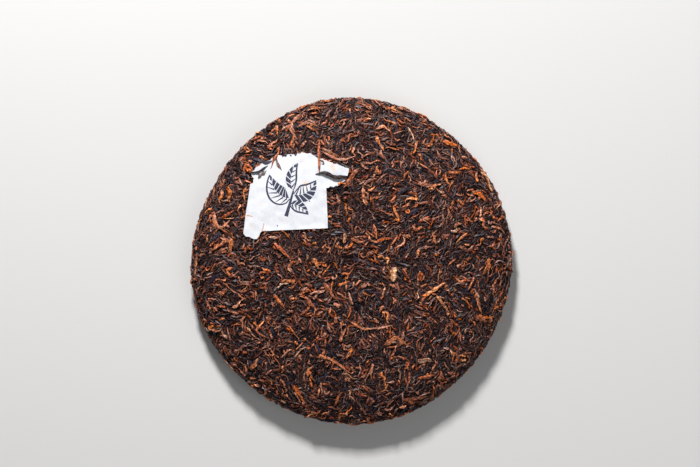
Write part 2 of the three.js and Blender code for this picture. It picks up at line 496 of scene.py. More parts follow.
@dataclass
class LeafBed:
    """Lays strips on one face, each where the bed is lowest, and keeps the height of what is laid so far.

    Args:
        form: The form that they lie on.
        face: The face.
        seed: What the strips are drawn from.
        past_rim: How far past the rim their middles may lie.
        floor: How high the empty bed is over the pressed surface.
        cell: How wide the bed's cells are.
        margin: How far the cells run on past the last strip's middle.
        open_sky: A height that nothing reaches.
        tries: At how many places a strip is tried.
        sway: How far the strips' way turns over the face, in radians.
        spread: The spread of each strip's own way about it, in radians.
        rim_band: How wide the band is in which the strips turn along the rim.
        rim_pull: How far they have turned along it at the rim, as a share.
        tilt: The spread of how far a strip's ends tip up or down.
        snaking: The spread of how far a leaf laid along a given line snakes off it.
        brightened: How far such a leaf of a light kind is from the kind's dullest colour.
        embed: How high a strip's middle lies over the bed, as a share of its height.
        rests: Where across its width a strip rests on the bed, as shares of the width.
        across: Where across its width it raises the bed.
    """

    form: CakeForm
    face: Face
    seed: int
    past_rim: float
    floor: float = -1.3
    cell: float = 0.35
    margin: float = 14.0
    open_sky: float = 9.0
    tries: int = 9
    sway: float = 1.5
    spread: float = 0.55
    rim_band: float = 15.0
    rim_pull: float = 0.85
    tilt: float = 0.28
    snaking: float = 0.3
    brightened: float = 0.45
    embed: float = 0.62
    rests: tuple[float, ...] = (-0.3, 0.0, 0.3)
    across: tuple[float, ...] = (-0.42, -0.22, 0.0, 0.22, 0.42)

    def __post_init__(self) -> None:
        """Starts with an empty bed."""
        self.draw = np.random.default_rng(self.seed)
        self.grain = Ripples(self.seed + 1, 30, 85)
        self.patches = Ripples(self.seed + 2, 5, 16, count=20)
        self.limit = self.form.reach[self.face] + self.past_rim
        self.half = self.limit + self.margin
        self.side = int(2 * self.half / self.cell) + 1
        self.height = np.full(self.side * self.side, self.floor)
        self.roof = np.full(self.side * self.side, self.open_sky)

    def cells(self, u: np.ndarray, v: np.ndarray) -> np.ndarray:
        """Finds the cells of the bed under some places.

        Args:
            u: The places across the chart.
            v: The places up the chart.

        Returns:
            The numbers of the cells.
        """
        column = np.clip(((u + self.half) / self.cell).astype(np.int64), 0, self.side - 1)
        row = np.clip(((v + self.half) / self.cell).astype(np.int64), 0, self.side - 1)
        return row * self.side + column

    def heading(self, u: np.ndarray, v: np.ndarray) -> np.ndarray:
        """Works out the way that the strips run, which turns along the rim near it.

        Args:
            u: The places across the chart.
            v: The places up the chart.

        Returns:
            The angle of the strips' way at each place, in radians.
        """
        grain = self.sway * self.grain.at(u, v)
        along_rim = np.arctan2(v, u) + math.pi / 2
        apart = (grain - along_rim + math.pi / 2) % math.pi - math.pi / 2
        rimward = np.clip((np.hypot(u, v) - self.form.reach[self.face]) / self.rim_band + 1, 0, 1)
        return grain - self.rim_pull * rimward * apart

    def shapes(self, cut: LeafCut, count: int) -> tuple[np.ndarray, ...]:
        """Draws the shapes of strips, each about its own middle.

        Args:
            cut: How they are shaped.
            count: How many to draw.

        Returns:
            Their lines as x and y, and their widths, thicknesses and turns at each station.
        """
        draw, n = self.draw, cut.stations
        curls, hooks, paces, kink_places = (1.5, 4.5), (1.2, 2.6), (0.7, 2.0), (0.2, 0.8)
        short_power, hook_start, hook_power = 1.4, 0.62, 1.5
        s = np.linspace(0, 1, n)
        long = draw.uniform(0, 1, (count, 1)) ** short_power
        length = long * (cut.length[1] - cut.length[0]) + cut.length[0]
        bend = draw.uniform(*cut.bend, (count, 1))
        curled = (draw.random((count, 1)) < cut.curled) * draw.choice([-1, 1], (count, 1))
        bend += curled * draw.uniform(*curls, (count, 1))
        pace, start = draw.uniform(*paces, (count, 1)), draw.random((count, 1))
        wave = draw.normal(0, cut.wavy, (count, 1)) * np.sin(TAU * (s * pace + start))
        hooked = (draw.random((count, 1)) < cut.hooked) * draw.choice([-1, 1], (count, 1))
        near_tip = np.clip((s - hook_start) / (1 - hook_start), 0, 1) ** hook_power
        hook = hooked * draw.uniform(*hooks, (count, 1)) * near_tip
        kink = draw.normal(0, cut.kinked, (count, 1)) * (s > draw.uniform(*kink_places, (count, 1)))
        way = bend * (s - 0.5) + wave + hook + kink
        step = length / (n - 1)
        x = np.cumsum(np.cos(way), axis=1) * step
        y = np.cumsum(np.sin(way), axis=1) * step
        x -= x.mean(axis=1, keepdims=True)
        y -= y.mean(axis=1, keepdims=True)
        width = draw.uniform(*cut.width, (count, 1)) * self.girth(cut, count)
        thickness = width * draw.uniform(*cut.flatness, (count, 1))
        turn = draw.normal(0, cut.roll, (count, 1)) + draw.uniform(*cut.twist, (count, 1)) * s
        return x, y, width, thickness, turn

    def girth(self, cut: LeafCut, count: int) -> np.ndarray:
        """Draws how the width of strips runs from foot to tip.

        Args:
            cut: How they are shaped.
            count: How many to draw.

        Returns:
            The width at each station, as a share of the full width.
        """
        foot_power, tip_power, tips, paces = 0.7, 0.75, (0.7, 1.3), (1.5, 3.5)
        s = np.linspace(0, 1, cut.stations)
        widen = np.clip(s / cut.base, 0, 1) ** foot_power
        narrow = np.clip((1 - s) / (cut.tip * self.draw.uniform(*tips, (count, 1))), 0, 1) ** tip_power
        waves, start = self.draw.uniform(*paces, (count, 1)), self.draw.random((count, 1))
        lumps = 1 + cut.lumpy * np.sin(TAU * (s * waves + start))
        return (cut.blunt + (1 - cut.blunt) * widen * narrow) * lumps

    def lay(self, cuts: Sequence[tuple[LeafCut, int]]) -> list[Strips]:
        """Lays strips of several kinds in a mixed order.

        Args:
            cuts: Each kind's cut and how many strips of it to lay.

        Returns:
            The strips as they lie, one row set per kind.
        """
        drawn = [self.candidates(cut, count) for cut, count in cuts]
        order = np.repeat(np.arange(len(cuts)), [count for _, count in cuts])
        when = self.draw.random(len(order)) + np.array([cut.late for cut, _ in cuts])[order]
        order = order[np.argsort(when)]
        upto = [0] * len(cuts)
        for which in order:
            self.settle(drawn[which], upto[which])
            upto[which] += 1
        return [one.strips for one in drawn]

    def candidates(self, cut: LeafCut, count: int) -> Tries:
        """Draws strips and some places for each to lie at.

        Args:
            cut: How they are shaped.
            count: How many to draw.

        Returns:
            The strips, not laid yet, and their places.
        """
        x, y, width, thickness, turn = self.shapes(cut, count)
        s = self.limit * np.sqrt(self.draw.random((count, self.tries)))
        around = self.draw.uniform(0, TAU, (count, self.tries))
        u, v = s * np.cos(around), s * np.sin(around)
        way = self.heading(u, v) + self.draw.normal(0, self.spread, (count, self.tries))
        way += np.pi * (self.draw.random((count, self.tries)) < 0.5)
        cos, sin = np.cos(way)[..., None], np.sin(way)[..., None]
        us = u[..., None] + cos * x[:, None] - sin * y[:, None]
        vs = v[..., None] + sin * x[:, None] + cos * y[:, None]
        ceiling = self.draw.normal(*cut.ceiling, (count, 1))
        tilt = self.draw.normal(0, self.tilt, (count, 1)) * np.linspace(-1, 1, cut.stations)
        strips = Strips(cut, self.face, *np.zeros((3, count, cut.stations)), width, thickness, turn)
        liking = cut.clumped * self.patches.at(u, v)
        return Tries(strips, us, vs, self.cells(us, vs), liking, ceiling + tilt)

    def settle(self, drawn: Tries, i: int) -> None:
        """Puts one strip down where the bed is lowest, and raises the bed there.

        Args:
            drawn: The strips that it is one of, and their places.
            i: Which one it is.
        """
        under = self.height[drawn.cells[i]]
        best = int((under.mean(axis=1) - drawn.liking[i]).argmin())
        self.put_down(drawn.strips, i, drawn.u[i, best], drawn.v[i, best], drawn.ceiling[i])

    def lay_by_hand(self, cut: LeafCut, leaves: Sequence["ShownLeaf"], ceiling: float) -> Strips:
        """Lays leaves along lines of their own, over all that lies there.

        Args:
            cut: How they are shaped.
            leaves: The leaves.
            ceiling: How high their middles may lie over the pressed surface.

        Returns:
            The leaves as they lie.
        """
        count, s = len(leaves), np.linspace(0, 1, cut.stations)
        width = np.array([[leaf.width] for leaf in leaves]) * self.girth(cut, count)
        thickness = width * self.draw.uniform(*cut.flatness, (count, 1))
        turn = self.draw.normal(0, cut.roll, (count, 1)) + self.draw.uniform(*cut.twist, (count, 1)) * s
        bright = self.brightened if cut.kind in LIGHT_KINDS else 0.0
        strips = Strips(cut, self.face, *np.zeros((3, count, cut.stations)), width, thickness, turn, bright)
        for i, leaf in enumerate(leaves):
            u, v = self.form.chart_of(*leaf.bent_line(cut.stations))
            size, pace = self.draw.normal(0, self.snaking), self.draw.uniform(0.8, 1.6)
            aside = size * np.sin(TAU * (s * pace + self.draw.random()))
            slope = math.atan2(v[-1] - v[0], u[-1] - u[0])
            u, v = u - aside * math.sin(slope), v + aside * math.cos(slope)
            self.put_down(strips, i, u, v, np.full(cut.stations, ceiling))
        return strips

    def put_down(self, strips: Strips, i: int, u: np.ndarray, v: np.ndarray, ceiling: np.ndarray) -> None:
        """Rests one strip on the bed along a line, no higher than its ceiling or the bed's own roof.

        Args:
            strips: The strips that it is one of.
            i: Which one it is.
            u: The line across the chart.
            v: The line up the chart.
            ceiling: How high its middle may lie at each station.
        """
        sin, cos = np.sin(strips.turn[i]), np.cos(strips.turn[i])
        wide = np.hypot(strips.width[i] * cos, strips.thickness[i] * sin)
        high = PRESSED * np.hypot(strips.width[i] * sin, strips.thickness[i] * cos)
        way = np.stack([np.gradient(u), np.gradient(v)])
        way /= np.maximum(np.hypot(*way), TINY)
        beside = [self.cells(u - k * wide * way[1], v + k * wide * way[0]) for k in self.rests]
        level = self.height[np.stack(beside)].max(axis=0)
        for _ in range(2):
            padded = np.concatenate([level[:1], level, level[-1:]])
            level = (padded[:-2] + 2 * padded[1:-1] + padded[2:]) / 4
        roof = self.roof[np.stack(beside)].min(axis=0) - 0.5 * high
        lift = np.minimum(np.minimum(level + self.embed * high, ceiling), roof)
        strips.u[i], strips.v[i], strips.lift[i] = u, v, lift
        steps = np.arange(len(u))
        fine = np.linspace(0, len(u) - 1, 3 * len(u))
        fu, fv, fx, fy, fw, fh, top = (
            np.interp(fine, steps, row) for row in (u, v, way[0], way[1], wide, high, lift)
        )
        for k in self.across:
            spots = self.cells(fu - k * fw * fy, fv + k * fw * fx)
            crown = top + 0.5 * fh * math.sqrt(1 - (2 * k) ** 2)
            self.height[spots] = np.maximum(self.height[spots], crown)


@dataclass
class StripMesher:
    """Turns laid strips into closed, twisted tubes with creased sections and painted highlight and shade.

    Args:
        form: The form that they lie on.
        seed: What their unevenness and their colours are drawn from.
        folds: How far out the folded corner of a section is, as a share of its reach.
        uneven: How far out each of its points is, as a share.
        tones: The two shape numbers of the spread of tones.
        odd_shade: How light the darkest of the strips that dried to another colour are.
        tip_power: How late along a strip its colour runs to that of its tip.
        sided: How light the sides of a strip are.
        spotted: How light the single points on them are.
        crease_power: How much painted shade darkens a crease, the deeper it is folded in.
        level_shade: How light a strip is painted half way up its section.
        top_highlight: How much lighter the painted highlight makes it on top, and how much darker
            the painted shade makes it underneath.
        deepest: How light the painted shade leaves the deepest strips, as a share.
        depth_power: How soon that painted shade lifts from there up.
        dusk: The height over the pressed surface up to which the painted shade is darkest.
        dawn: The height from which no painted shade darkens the strips.
        dimmed: Powers by which red, green and blue fall as painted shade and random tone darken a strip.
        dull: The colour of a strip with no colour of its own, as a share of grey.
        map_length: How long each strip is on the map of its streaks.
        map_reach: How far apart two strips may lie on that map.
    """

    form: CakeForm
    seed: int
    folds: tuple[float, float] = (0.2, 1.0)
    uneven: tuple[float, float] = (0.85, 1.15)
    tones: tuple[float, float] = (1.5, 1.7)
    odd_shade: float = 0.6
    tip_power: float = 1.6
    sided: tuple[float, float] = (0.45, 1.6)
    spotted: tuple[float, float] = (0.62, 1.34)
    crease_power: float = 1.5
    level_shade: float = 0.66
    top_highlight: float = 0.54
    deepest: float = 0.22
    depth_power: float = 0.45
    dusk: float = -1.0
    dawn: float = -0.1
    dimmed: Colour = (0.8, 1.05, 1.05)
    dull: Colour = (1.08, 0.97, 0.95)
    map_length: float = 12.0
    map_reach: float = 400.0

    def __post_init__(self) -> None:
        """Starts the random draws."""
        self.draw = np.random.default_rng(self.seed)

    def creases(self, cut: LeafCut, count: int) -> np.ndarray:
        """Draws which corner of each strip's section is folded in, and how far.

        Args:
            cut: How the strips are shaped.
            count: How many there are.

        Returns:
            How far out each corner is, where 1 is not folded in at all.
        """
        fold = np.ones((count, cut.sides))
        where = self.draw.integers(0, cut.sides, count)
        fold[np.arange(count), where] = self.draw.uniform(*self.folds, count)
        return fold

    def tubes(self, strips: Strips, tint: Tint) -> PieceData:
        """Builds the tubes.

        Args:
            strips: The strips as they lie.
            tint: Their colours.

        Returns:
            Their arrays, with the colours and both maps.
        """
        cut, count = strips.cut, len(strips)
        n, sides = cut.stations, cut.sides
        middle, off = self.form.place(strips.face, strips.u, strips.v, strips.lift)
        way = unit(np.gradient(middle, axis=1))
        aside = unit(np.cross(off, way))
        up = np.cross(way, aside)
        round_ = TAU * np.arange(sides) / sides
        fold = self.creases(cut, count)
        reach = fold[:, None, :] * self.draw.uniform(*self.uneven, (count, n, sides))
        a = 0.5 * strips.width[..., None] * np.cos(round_) * reach
        b = 0.5 * strips.thickness[..., None] * np.sin(round_) * reach
        cos, sin = np.cos(strips.turn)[..., None], np.sin(strips.turn)[..., None]
        a, b = a * cos - b * sin, PRESSED * (a * sin + b * cos)
        half = 0.5 * np.maximum(strips.width, strips.thickness)[..., None]
        # How high each point stands on its section, which sets its painted highlight on top and painted shade
        # underneath.
        section_height = np.clip(b / np.maximum(half, TINY), -1, 1)
        points = middle[:, :, None] + a[..., None] * aside[:, :, None] + b[..., None] * up[:, :, None]
        points = self.form.pressed_flat(points)
        return PieceData(
            points.reshape(-1, 3),
            *self.faces(count, n, sides),
            self.tints(strips, tint, fold, section_height).reshape(-1, 4),
            self.grain_map(strips),
        )

    @staticmethod
    def faces(count: int, n: int, sides: int) -> tuple[np.ndarray, np.ndarray]:
        """Lists the faces of many like tubes, for each its quads first and then both ends.

        Args:
            count: How many tubes there are.
            n: How many sections each has.
            sides: How many sides each section has.

        Returns:
            The point at each corner of the faces, and the corner that each face starts with.
        """
        k, j = np.meshgrid(np.arange(n - 1), np.arange(sides), indexing="ij")
        after = (j + 1) % sides
        quads = np.stack([k * sides + j, k * sides + after, (k + 1) * sides + after, (k + 1) * sides + j], -1)
        foot = np.arange(sides)[::-1]
        tip = (n - 1) * sides + np.arange(sides)
        one = np.concatenate([quads.ravel(), foot, tip])
        starts = np.concatenate([4 * np.arange((n - 1) * sides), 4 * (n - 1) * sides + np.array([0, sides])])
        corners = one + (np.arange(count) * n * sides)[:, None]
        return corners.ravel(), (starts + (np.arange(count) * len(one))[:, None]).ravel()

    @staticmethod
    def corner_places(n: int, sides: int) -> np.ndarray:
        """Lays one tube out flat, along and round, both from 0 to 1, with its ends beside it.

        Args:
            n: How many sections it has.
            sides: How many sides each section has.

        Returns:
            The place of each corner.
        """
        margin, end_across, end_up, end_at = 0.05, 0.018, 0.4, 0.02
        k, j = np.meshgrid(np.arange(n - 1), np.arange(sides), indexing="ij")
        along = np.stack([k, k, k + 1, k + 1], -1) / (n - 1)
        about = np.stack([j, j + 1, j + 1, j], -1) / sides
        tube = np.stack([margin + (1 - 2 * margin) * along, about], -1).reshape(-1, 2)
        turn = TAU * np.arange(sides) / sides
        ring = np.stack([end_across * np.cos(turn), end_up * np.sin(turn)], -1)
        return np.concatenate([tube, ring[::-1] + (end_at, 0.5), ring + (1 - end_at, 0.5)])

    def grain_map(self, strips: Strips) -> np.ndarray:
        """Makes the map that the leaf's streaks follow, with each strip at a place of its own.

        Args:
            strips: The strips as they lie.

        Returns:
            The place of each corner of their faces.
        """
        places = self.corner_places(strips.cut.stations, strips.cut.sides)
        start = self.draw.uniform(0, self.map_reach, (len(strips), 1, 2))
        return (places * (self.map_length, 1.0) + start).reshape(-1, 2)

    def tints(self, strips: Strips, tint: Tint, fold: np.ndarray, section_height: np.ndarray) -> np.ndarray:
        """Works out the colour at each point: random tone, with a painted highlight on top of each section
        and painted shade underneath it, in its creases and deep in the bed.

        Args:
            strips: The strips as they lie.
            tint: Their colours.
            fold: How far each corner of each section is folded in.
            section_height: How high each point stands on its own section, from -1 to 1. It sets the
            painted highlight and shade.

        Returns:
            The colours.
        """
        count, n, sides = len(strips), strips.cut.stations, strips.cut.sides
        each = (count, 1, 1, 1)
        tone = strips.bright + (1 - strips.bright) * self.draw.beta(*self.tones, each)
        colour = np.array(tint.deep) * (1 - tone) + np.array(tint.full) * tone
        odd = self.draw.random(each) < (0 if strips.bright else tint.odd_share)
        odd_shade = self.odd_shade + 2 * (1 - self.odd_shade) * tone
        colour = np.where(odd, np.array(tint.odd) * odd_shade, colour)
        grey = colour.mean(axis=-1, keepdims=True) * np.array(self.dull)
        dullest = tint.vivid[0] + strips.bright * (tint.vivid[1] - tint.vivid[0])
        colour = grey + (colour - grey) * self.draw.uniform(dullest, tint.vivid[1], each)
        tipward = np.linspace(0, 1, n)[None, :, None, None] ** self.tip_power
        run = tipward * tint.tipped * self.draw.random(each)
        colour = colour * (1 - run) + np.array(tint.tip) * run
        # Painted shade in the creases, times each side's random tone: a corner folded in is painted darker
        # the deeper it is folded.
        creased = fold[:, None, :, None] ** self.crease_power
        sided = self.draw.uniform(*self.sided, (count, 1, sides, 1)) * creased
        spotted = self.draw.uniform(*self.spotted, (count, n, sides, 1))
        # Painted shade deep in the bed: the lower a strip lies under the pressed surface, the darker it is
        # painted.
        depth = np.clip((strips.lift - self.dusk) / (self.dawn - self.dusk), 0, 1)[..., None, None]
        # Painted highlight on top of each section and painted shade underneath it.
        painted_section_light = self.level_shade + self.top_highlight * section_height[..., None]
        sunk = self.deepest + (1 - self.deepest) * depth**self.depth_power
        # Painted light and shade of section, bed and creases, with the random tone of sides and points.
        colour = np.clip(colour * (painted_section_light * sunk * sided * spotted) ** np.array(self.dimmed), 0, 1)
        return np.concatenate([colour, np.ones((count, n, sides, 1))], axis=-1)

    @staticmethod
    def bake_map(strips: Sequence[Strips]) -> list[np.ndarray]:
        """Makes the map on which every strip of a piece has a cell of its own.

        Args:
            strips: All the strips of the piece.

        Returns:
            The place of each corner of the faces, for each of them.
        """
        margin, longer = 0.06, 4
        total = sum(len(one) for one in strips)
        columns = max(1, int(math.sqrt(total / longer)))
        rows = math.ceil(total / columns)
        maps, first = [], 0
        for one in strips:
            places = StripMesher.corner_places(one.cut.stations, one.cut.sides)
            cell = first + np.arange(len(one))
            corner = np.stack([cell % columns, cell // columns], -1)[:, None]
            inside = margin + (1 - 2 * margin) * places
            maps.append(((corner + inside) / (columns, rows)).reshape(-1, 2))
            first += len(one)
        return maps


@dataclass(frozen=True)
class NodeDesk:
    """Adds shader nodes to one material and links them.

    Args:
        tree: The material's nodes.
    """

    tree: bpy.types.NodeTree

    def add(self, kind: str, **settings: object) -> bpy.types.Node:
        """Adds a node and sets what is named on it, or on its inputs where it has no such setting.

        Args:
            kind: The kind of node.
            settings: The settings and inputs by name, with _ for a space.

        Returns:
            The node.
        """
        node = self.tree.nodes.new("ShaderNode" + kind)
        for name, value in settings.items():
            if hasattr(node, name):
                setattr(node, name, value)
            else:
                node.inputs[name.replace("_", " ")].default_value = value
        return node

    def link(self, out: bpy.types.NodeSocket, into: bpy.types.NodeSocket) -> None:
        """Links two sockets."""
        self.tree.links.new(out, into)

    def ramp(
        self, factor: bpy.types.NodeSocket, stops: Sequence[tuple[float, Colour]]
    ) -> bpy.types.NodeSocket:
        """Adds a colour ramp.

        Args:
            factor: What picks the place on it.
            stops: The places and colours of its stops.

        Returns:
            The picked colour.
        """
        node = self.add("ValToRGB")
        while len(node.color_ramp.elements) < len(stops):
            node.color_ramp.elements.new(0.5)
        for element, (place, colour) in zip(node.color_ramp.elements, stops):
            element.position = place
            element.color = (*colour, 1)
        self.link(factor, node.inputs["Fac"])
        return node.outputs["Color"]

    def blend(
        self,
        way: str,
        factor: bpy.types.NodeSocket | float,
        first: bpy.types.NodeSocket,
        second: bpy.types.NodeSocket | Colour,
    ) -> bpy.types.NodeSocket:
        """Adds a colour mix.

        Args:
            way: How the second colour goes over the first, such as MIX or MULTIPLY.
            factor: How much it does.
            first: The first colour.
            second: The second colour, a socket or the same all over.

        Returns:
            The mixed colour.
        """
        node = self.add("Mix", data_type="RGBA", blend_type=way)
        if isinstance(factor, float):
            node.inputs["Factor"].default_value = factor
        else:
            self.link(factor, node.inputs["Factor"])
        self.link(first, node.inputs["A"])
        if isinstance(second, tuple):
            node.inputs["B"].default_value = (*second, 1)
        else:
            self.link(second, node.inputs["B"])
        return node.outputs["Result"]

    def bump(self, height: bpy.types.NodeSocket, relief: float, shader: bpy.types.Node) -> None:
        """Adds a bump and links it to the shader.

        Args:
            height: The height that it follows.
            relief: How deep it is, in mm.
            shader: The shader.
        """
        node = self.add("Bump", Strength=1.0, Distance=relief * MM)
        self.link(height, node.inputs["Height"])
        self.link(node.outputs[0], shader.inputs["Normal"])


def new_finish(name: str) -> tuple[bpy.types.Material, NodeDesk, bpy.types.Node]:
    """Starts a material with a Principled shader.

    Args:
        name: Its name.

    Returns:
        The material, what adds nodes to it, and its shader.
    """
    material = bpy.data.materials.new(name)
    material.use_nodes = True
    return material, NodeDesk(material.node_tree), material.node_tree.nodes["Principled BSDF"]


@dataclass(frozen=True)
class LeafFinish:
    """Dry, slightly waxy leaf: streaked along its length, with fine wrinkles.

    Args:
        name: The material's name.
        sheen: How strong its gloss is.
        rough: How rough its smoothest and roughest streaks are.
        relief: How deep its wrinkles are, in mm.
    """

    name: str
    sheen: float
    rough: tuple[float, float] = (0.26, 0.62)
    relief: float = 0.14

    def make(self) -> bpy.types.Material:
        """Builds the material and returns it."""
        material, desk, shader = new_finish(self.name)
        tint = desk.add("VertexColor", layer_name="leaf_tint")
        places = desk.add("UVMap", uv_map="LeafGrain")
        streaks = desk.add("Mapping", Scale=(0.8, 5.0, 1.0))
        desk.link(places.outputs[0], streaks.inputs["Vector"])
        fine = desk.add("TexNoise", noise_dimensions="2D", Scale=1.0, Detail=4.0, Roughness=0.65)
        desk.link(streaks.outputs[0], fine.inputs["Vector"])
        shade = desk.ramp(fine.outputs[0], ((0.35, (0.2,) * 3), (0.5, (0.9,) * 3), (0.66, (1.9,) * 3)))
        blotches = desk.add("TexNoise", Scale=900.0, Detail=2.0)
        where = desk.add("TexCoord")
        desk.link(where.outputs["Object"], blotches.inputs["Vector"])
        cloud = desk.ramp(blotches.outputs[0], ((0.36, (0.6, 0.56, 0.7)), (0.64, (1.4, 1.25, 1.15))))
        streaked = desk.blend("MULTIPLY", 1.0, tint.outputs["Color"], shade)
        desk.link(desk.blend("MULTIPLY", 1.0, streaked, cloud), shader.inputs["Base Color"])
        gloss = desk.add("MapRange", To_Min=self.rough[1], To_Max=self.rough[0])
        desk.link(fine.outputs[0], gloss.inputs["Value"])
        desk.link(gloss.outputs[0], shader.inputs["Roughness"])
        shader.inputs["Specular IOR Level"].default_value = self.sheen
        desk.bump(fine.outputs[0], self.relief, shader)
        return material


@dataclass(frozen=True)
class DustFinish:
    """The near-black fine leaf and dust that shows deep between the strips.

    Args:
        name: The material's name.
        deep: The colour of its darkest grit.
        middle: The colour of most of it.
        light: The colour of its lightest grit.
        rough: How rough it is.
        sheen: How strong its gloss is.
        relief: How deep its grit is, in mm.
    """

    name: str = "dark_leaf_dust"
    deep: Colour = (0.008, 0.005, 0.005)
    middle: Colour = (0.042, 0.019, 0.017)
    light: Colour = (0.14, 0.055, 0.04)
    rough: float = 0.85
    sheen: float = 0.2
    relief: float = 0.9

    def make(self) -> bpy.types.Material:
        """Builds the material and returns it."""
        material, desk, shader = new_finish(self.name)
        where = desk.add("TexCoord")
        grit = desk.add("TexNoise", Scale=700.0, Detail=5.0, Roughness=0.75, Distortion=1.5)
        desk.link(where.outputs["Object"], grit.inputs["Vector"])
        shade = desk.ramp(grit.outputs[0], ((0.38, self.deep), (0.52, self.middle), (0.68, self.light)))
        desk.link(shade, shader.inputs["Base Color"])
        shader.inputs["Roughness"].default_value = self.rough
        shader.inputs["Specular IOR Level"].default_value = self.sheen
        desk.bump(grit.outputs[0], self.relief, shader)
        return material


@dataclass(frozen=True)
class PaperFinish:
    """Thin white rag paper with a dark blue print, amber tea stains and brown torn folds.

    Args:
        name: The material's name.
        paper: The colour of most of the paper.
        shaded: The colour of its duller patches.
        ink: The colour of the print.
        worn_ink: The colour where it has worn.
        stain: The colour of a stain.
        fold: The colour of a fold.
        rough: How rough the paper is.
        sheen: How strong its gloss is.
        fibre: How deep its fibres are, in mm.
    """

    name: str = "printed_ticket_paper"
    paper: Colour = (0.665, 0.675, 0.707)
    shaded: Colour = (0.59, 0.595, 0.645)
    ink: Colour = (0.03, 0.031, 0.058)
    worn_ink: Colour = (0.07, 0.072, 0.12)
    stain: Colour = (0.86, 0.47, 0.24)
    fold: Colour = (0.52, 0.29, 0.17)
    rough: float = 0.78
    sheen: float = 0.25
    fibre: float = 0.03

    def make(self) -> bpy.types.Material:
        """Builds the material and returns it."""
        material, desk, shader = new_finish(self.name)
        where = desk.add("TexCoord")
        marks = desk.add("VertexColor", layer_name="paper_marks")
        parts = desk.add("SeparateColor")
        desk.link(marks.outputs["Color"], parts.inputs[0])
        pulp = desk.add("TexNoise", Scale=260.0, Detail=5.0, Roughness=0.6)
        fibres = desk.add("TexNoise", Scale=1600.0, Detail=3.0)
        desk.link(where.outputs["Object"], pulp.inputs["Vector"])
        desk.link(where.outputs["Object"], fibres.inputs["Vector"])
        sheet = desk.ramp(pulp.outputs[0], ((0.3, self.shaded), (0.52, self.paper)))
        stained = desk.blend("MIX", parts.outputs["Blue"], sheet, self.stain)
        folded = desk.blend("MIX", parts.outputs["Green"], stained, self.fold)
        print_colour = desk.ramp(fibres.outputs[0], ((0.42, self.ink), (0.66, self.worn_ink)))
        printed = desk.blend("MIX", parts.outputs["Red"], folded, print_colour)
        desk.link(printed, shader.inputs["Base Color"])
        shader.inputs["Roughness"].default_value = self.rough
        shader.inputs["Specular IOR Level"].default_value = self.sheen
        desk.bump(fibres.outputs[0], self.fibre, shader)
        return material


@dataclass
class PressedCore:
    """The dark mass under the strips, sunk below the pressed surface and uneven.

    Args:
        form: The form that it fills.
        front_sunk: How far its front is sunk below the pressed surface.
        back_sunk: How far its back is.
        rough: How uneven it is.
        rings: How many rings of points each face has.
        spokes: How many points each ring has.
    """

    form: CakeForm
    front_sunk: float = 1.4
    back_sunk: float = 0.85
    rough: float = 0.2
    rings: int = 34
    spokes: int = 160

    def build(self) -> bpy.types.Object:
        """Makes the core as one closed surface of rings from the middle of the front to that of the back.

        Returns:
            The core.
        """
        uneven = Ripples(5, 7.0, 16.0, axes=3, count=24)
        angle = TAU * np.arange(self.spokes) / self.spokes
        halves, poles = [], []
        for face, sunk in ((Face.FRONT, self.front_sunk), (Face.BACK, self.back_sunk)):
            s = self.form.reach[face] * np.linspace(0, 1, self.rings + 1)[1:]
            u, v = s[:, None] * np.cos(angle), s[:, None] * np.sin(angle) * face.value
            poles.append(self.form.place(face, *np.zeros((2, 1)), np.array([-sunk]))[0])
            bare, off = self.form.place(face, u, v, np.full_like(u, -sunk))
            halves.append(bare + off * (self.rough * uneven.at(*np.moveaxis(bare, -1, 0)))[..., None])
        front, back = halves
        rings = np.concatenate([front, back[-2::-1]])
        points = self.form.pressed_flat(np.concatenate([rings.reshape(-1, 3), *poles]))
        last, m = len(rings) - 1, self.spokes
        k, j = np.meshgrid(np.arange(last), np.arange(m), indexing="ij")
        after = (j + 1) % m
        quads = np.stack([k * m + j, (k + 1) * m + j, (k + 1) * m + after, k * m + after], -1).reshape(-1)
        j, after, top, under = np.arange(m), (np.arange(m) + 1) % m, len(points) - 2, len(points) - 1
        cap = np.stack([np.full(m, top), j, after], -1).reshape(-1)
        heel = np.stack([np.full(m, under), last * m + after, last * m + j], -1).reshape(-1)
        corners = np.concatenate([quads, cap, heel])
        starts = np.concatenate([4 * np.arange(last * m), len(quads) + 3 * np.arange(2 * m)])
        piece = new_piece("pressed_core", PieceData(points, corners, starts), DustFinish().make())
        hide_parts("tea_cake")
        return piece


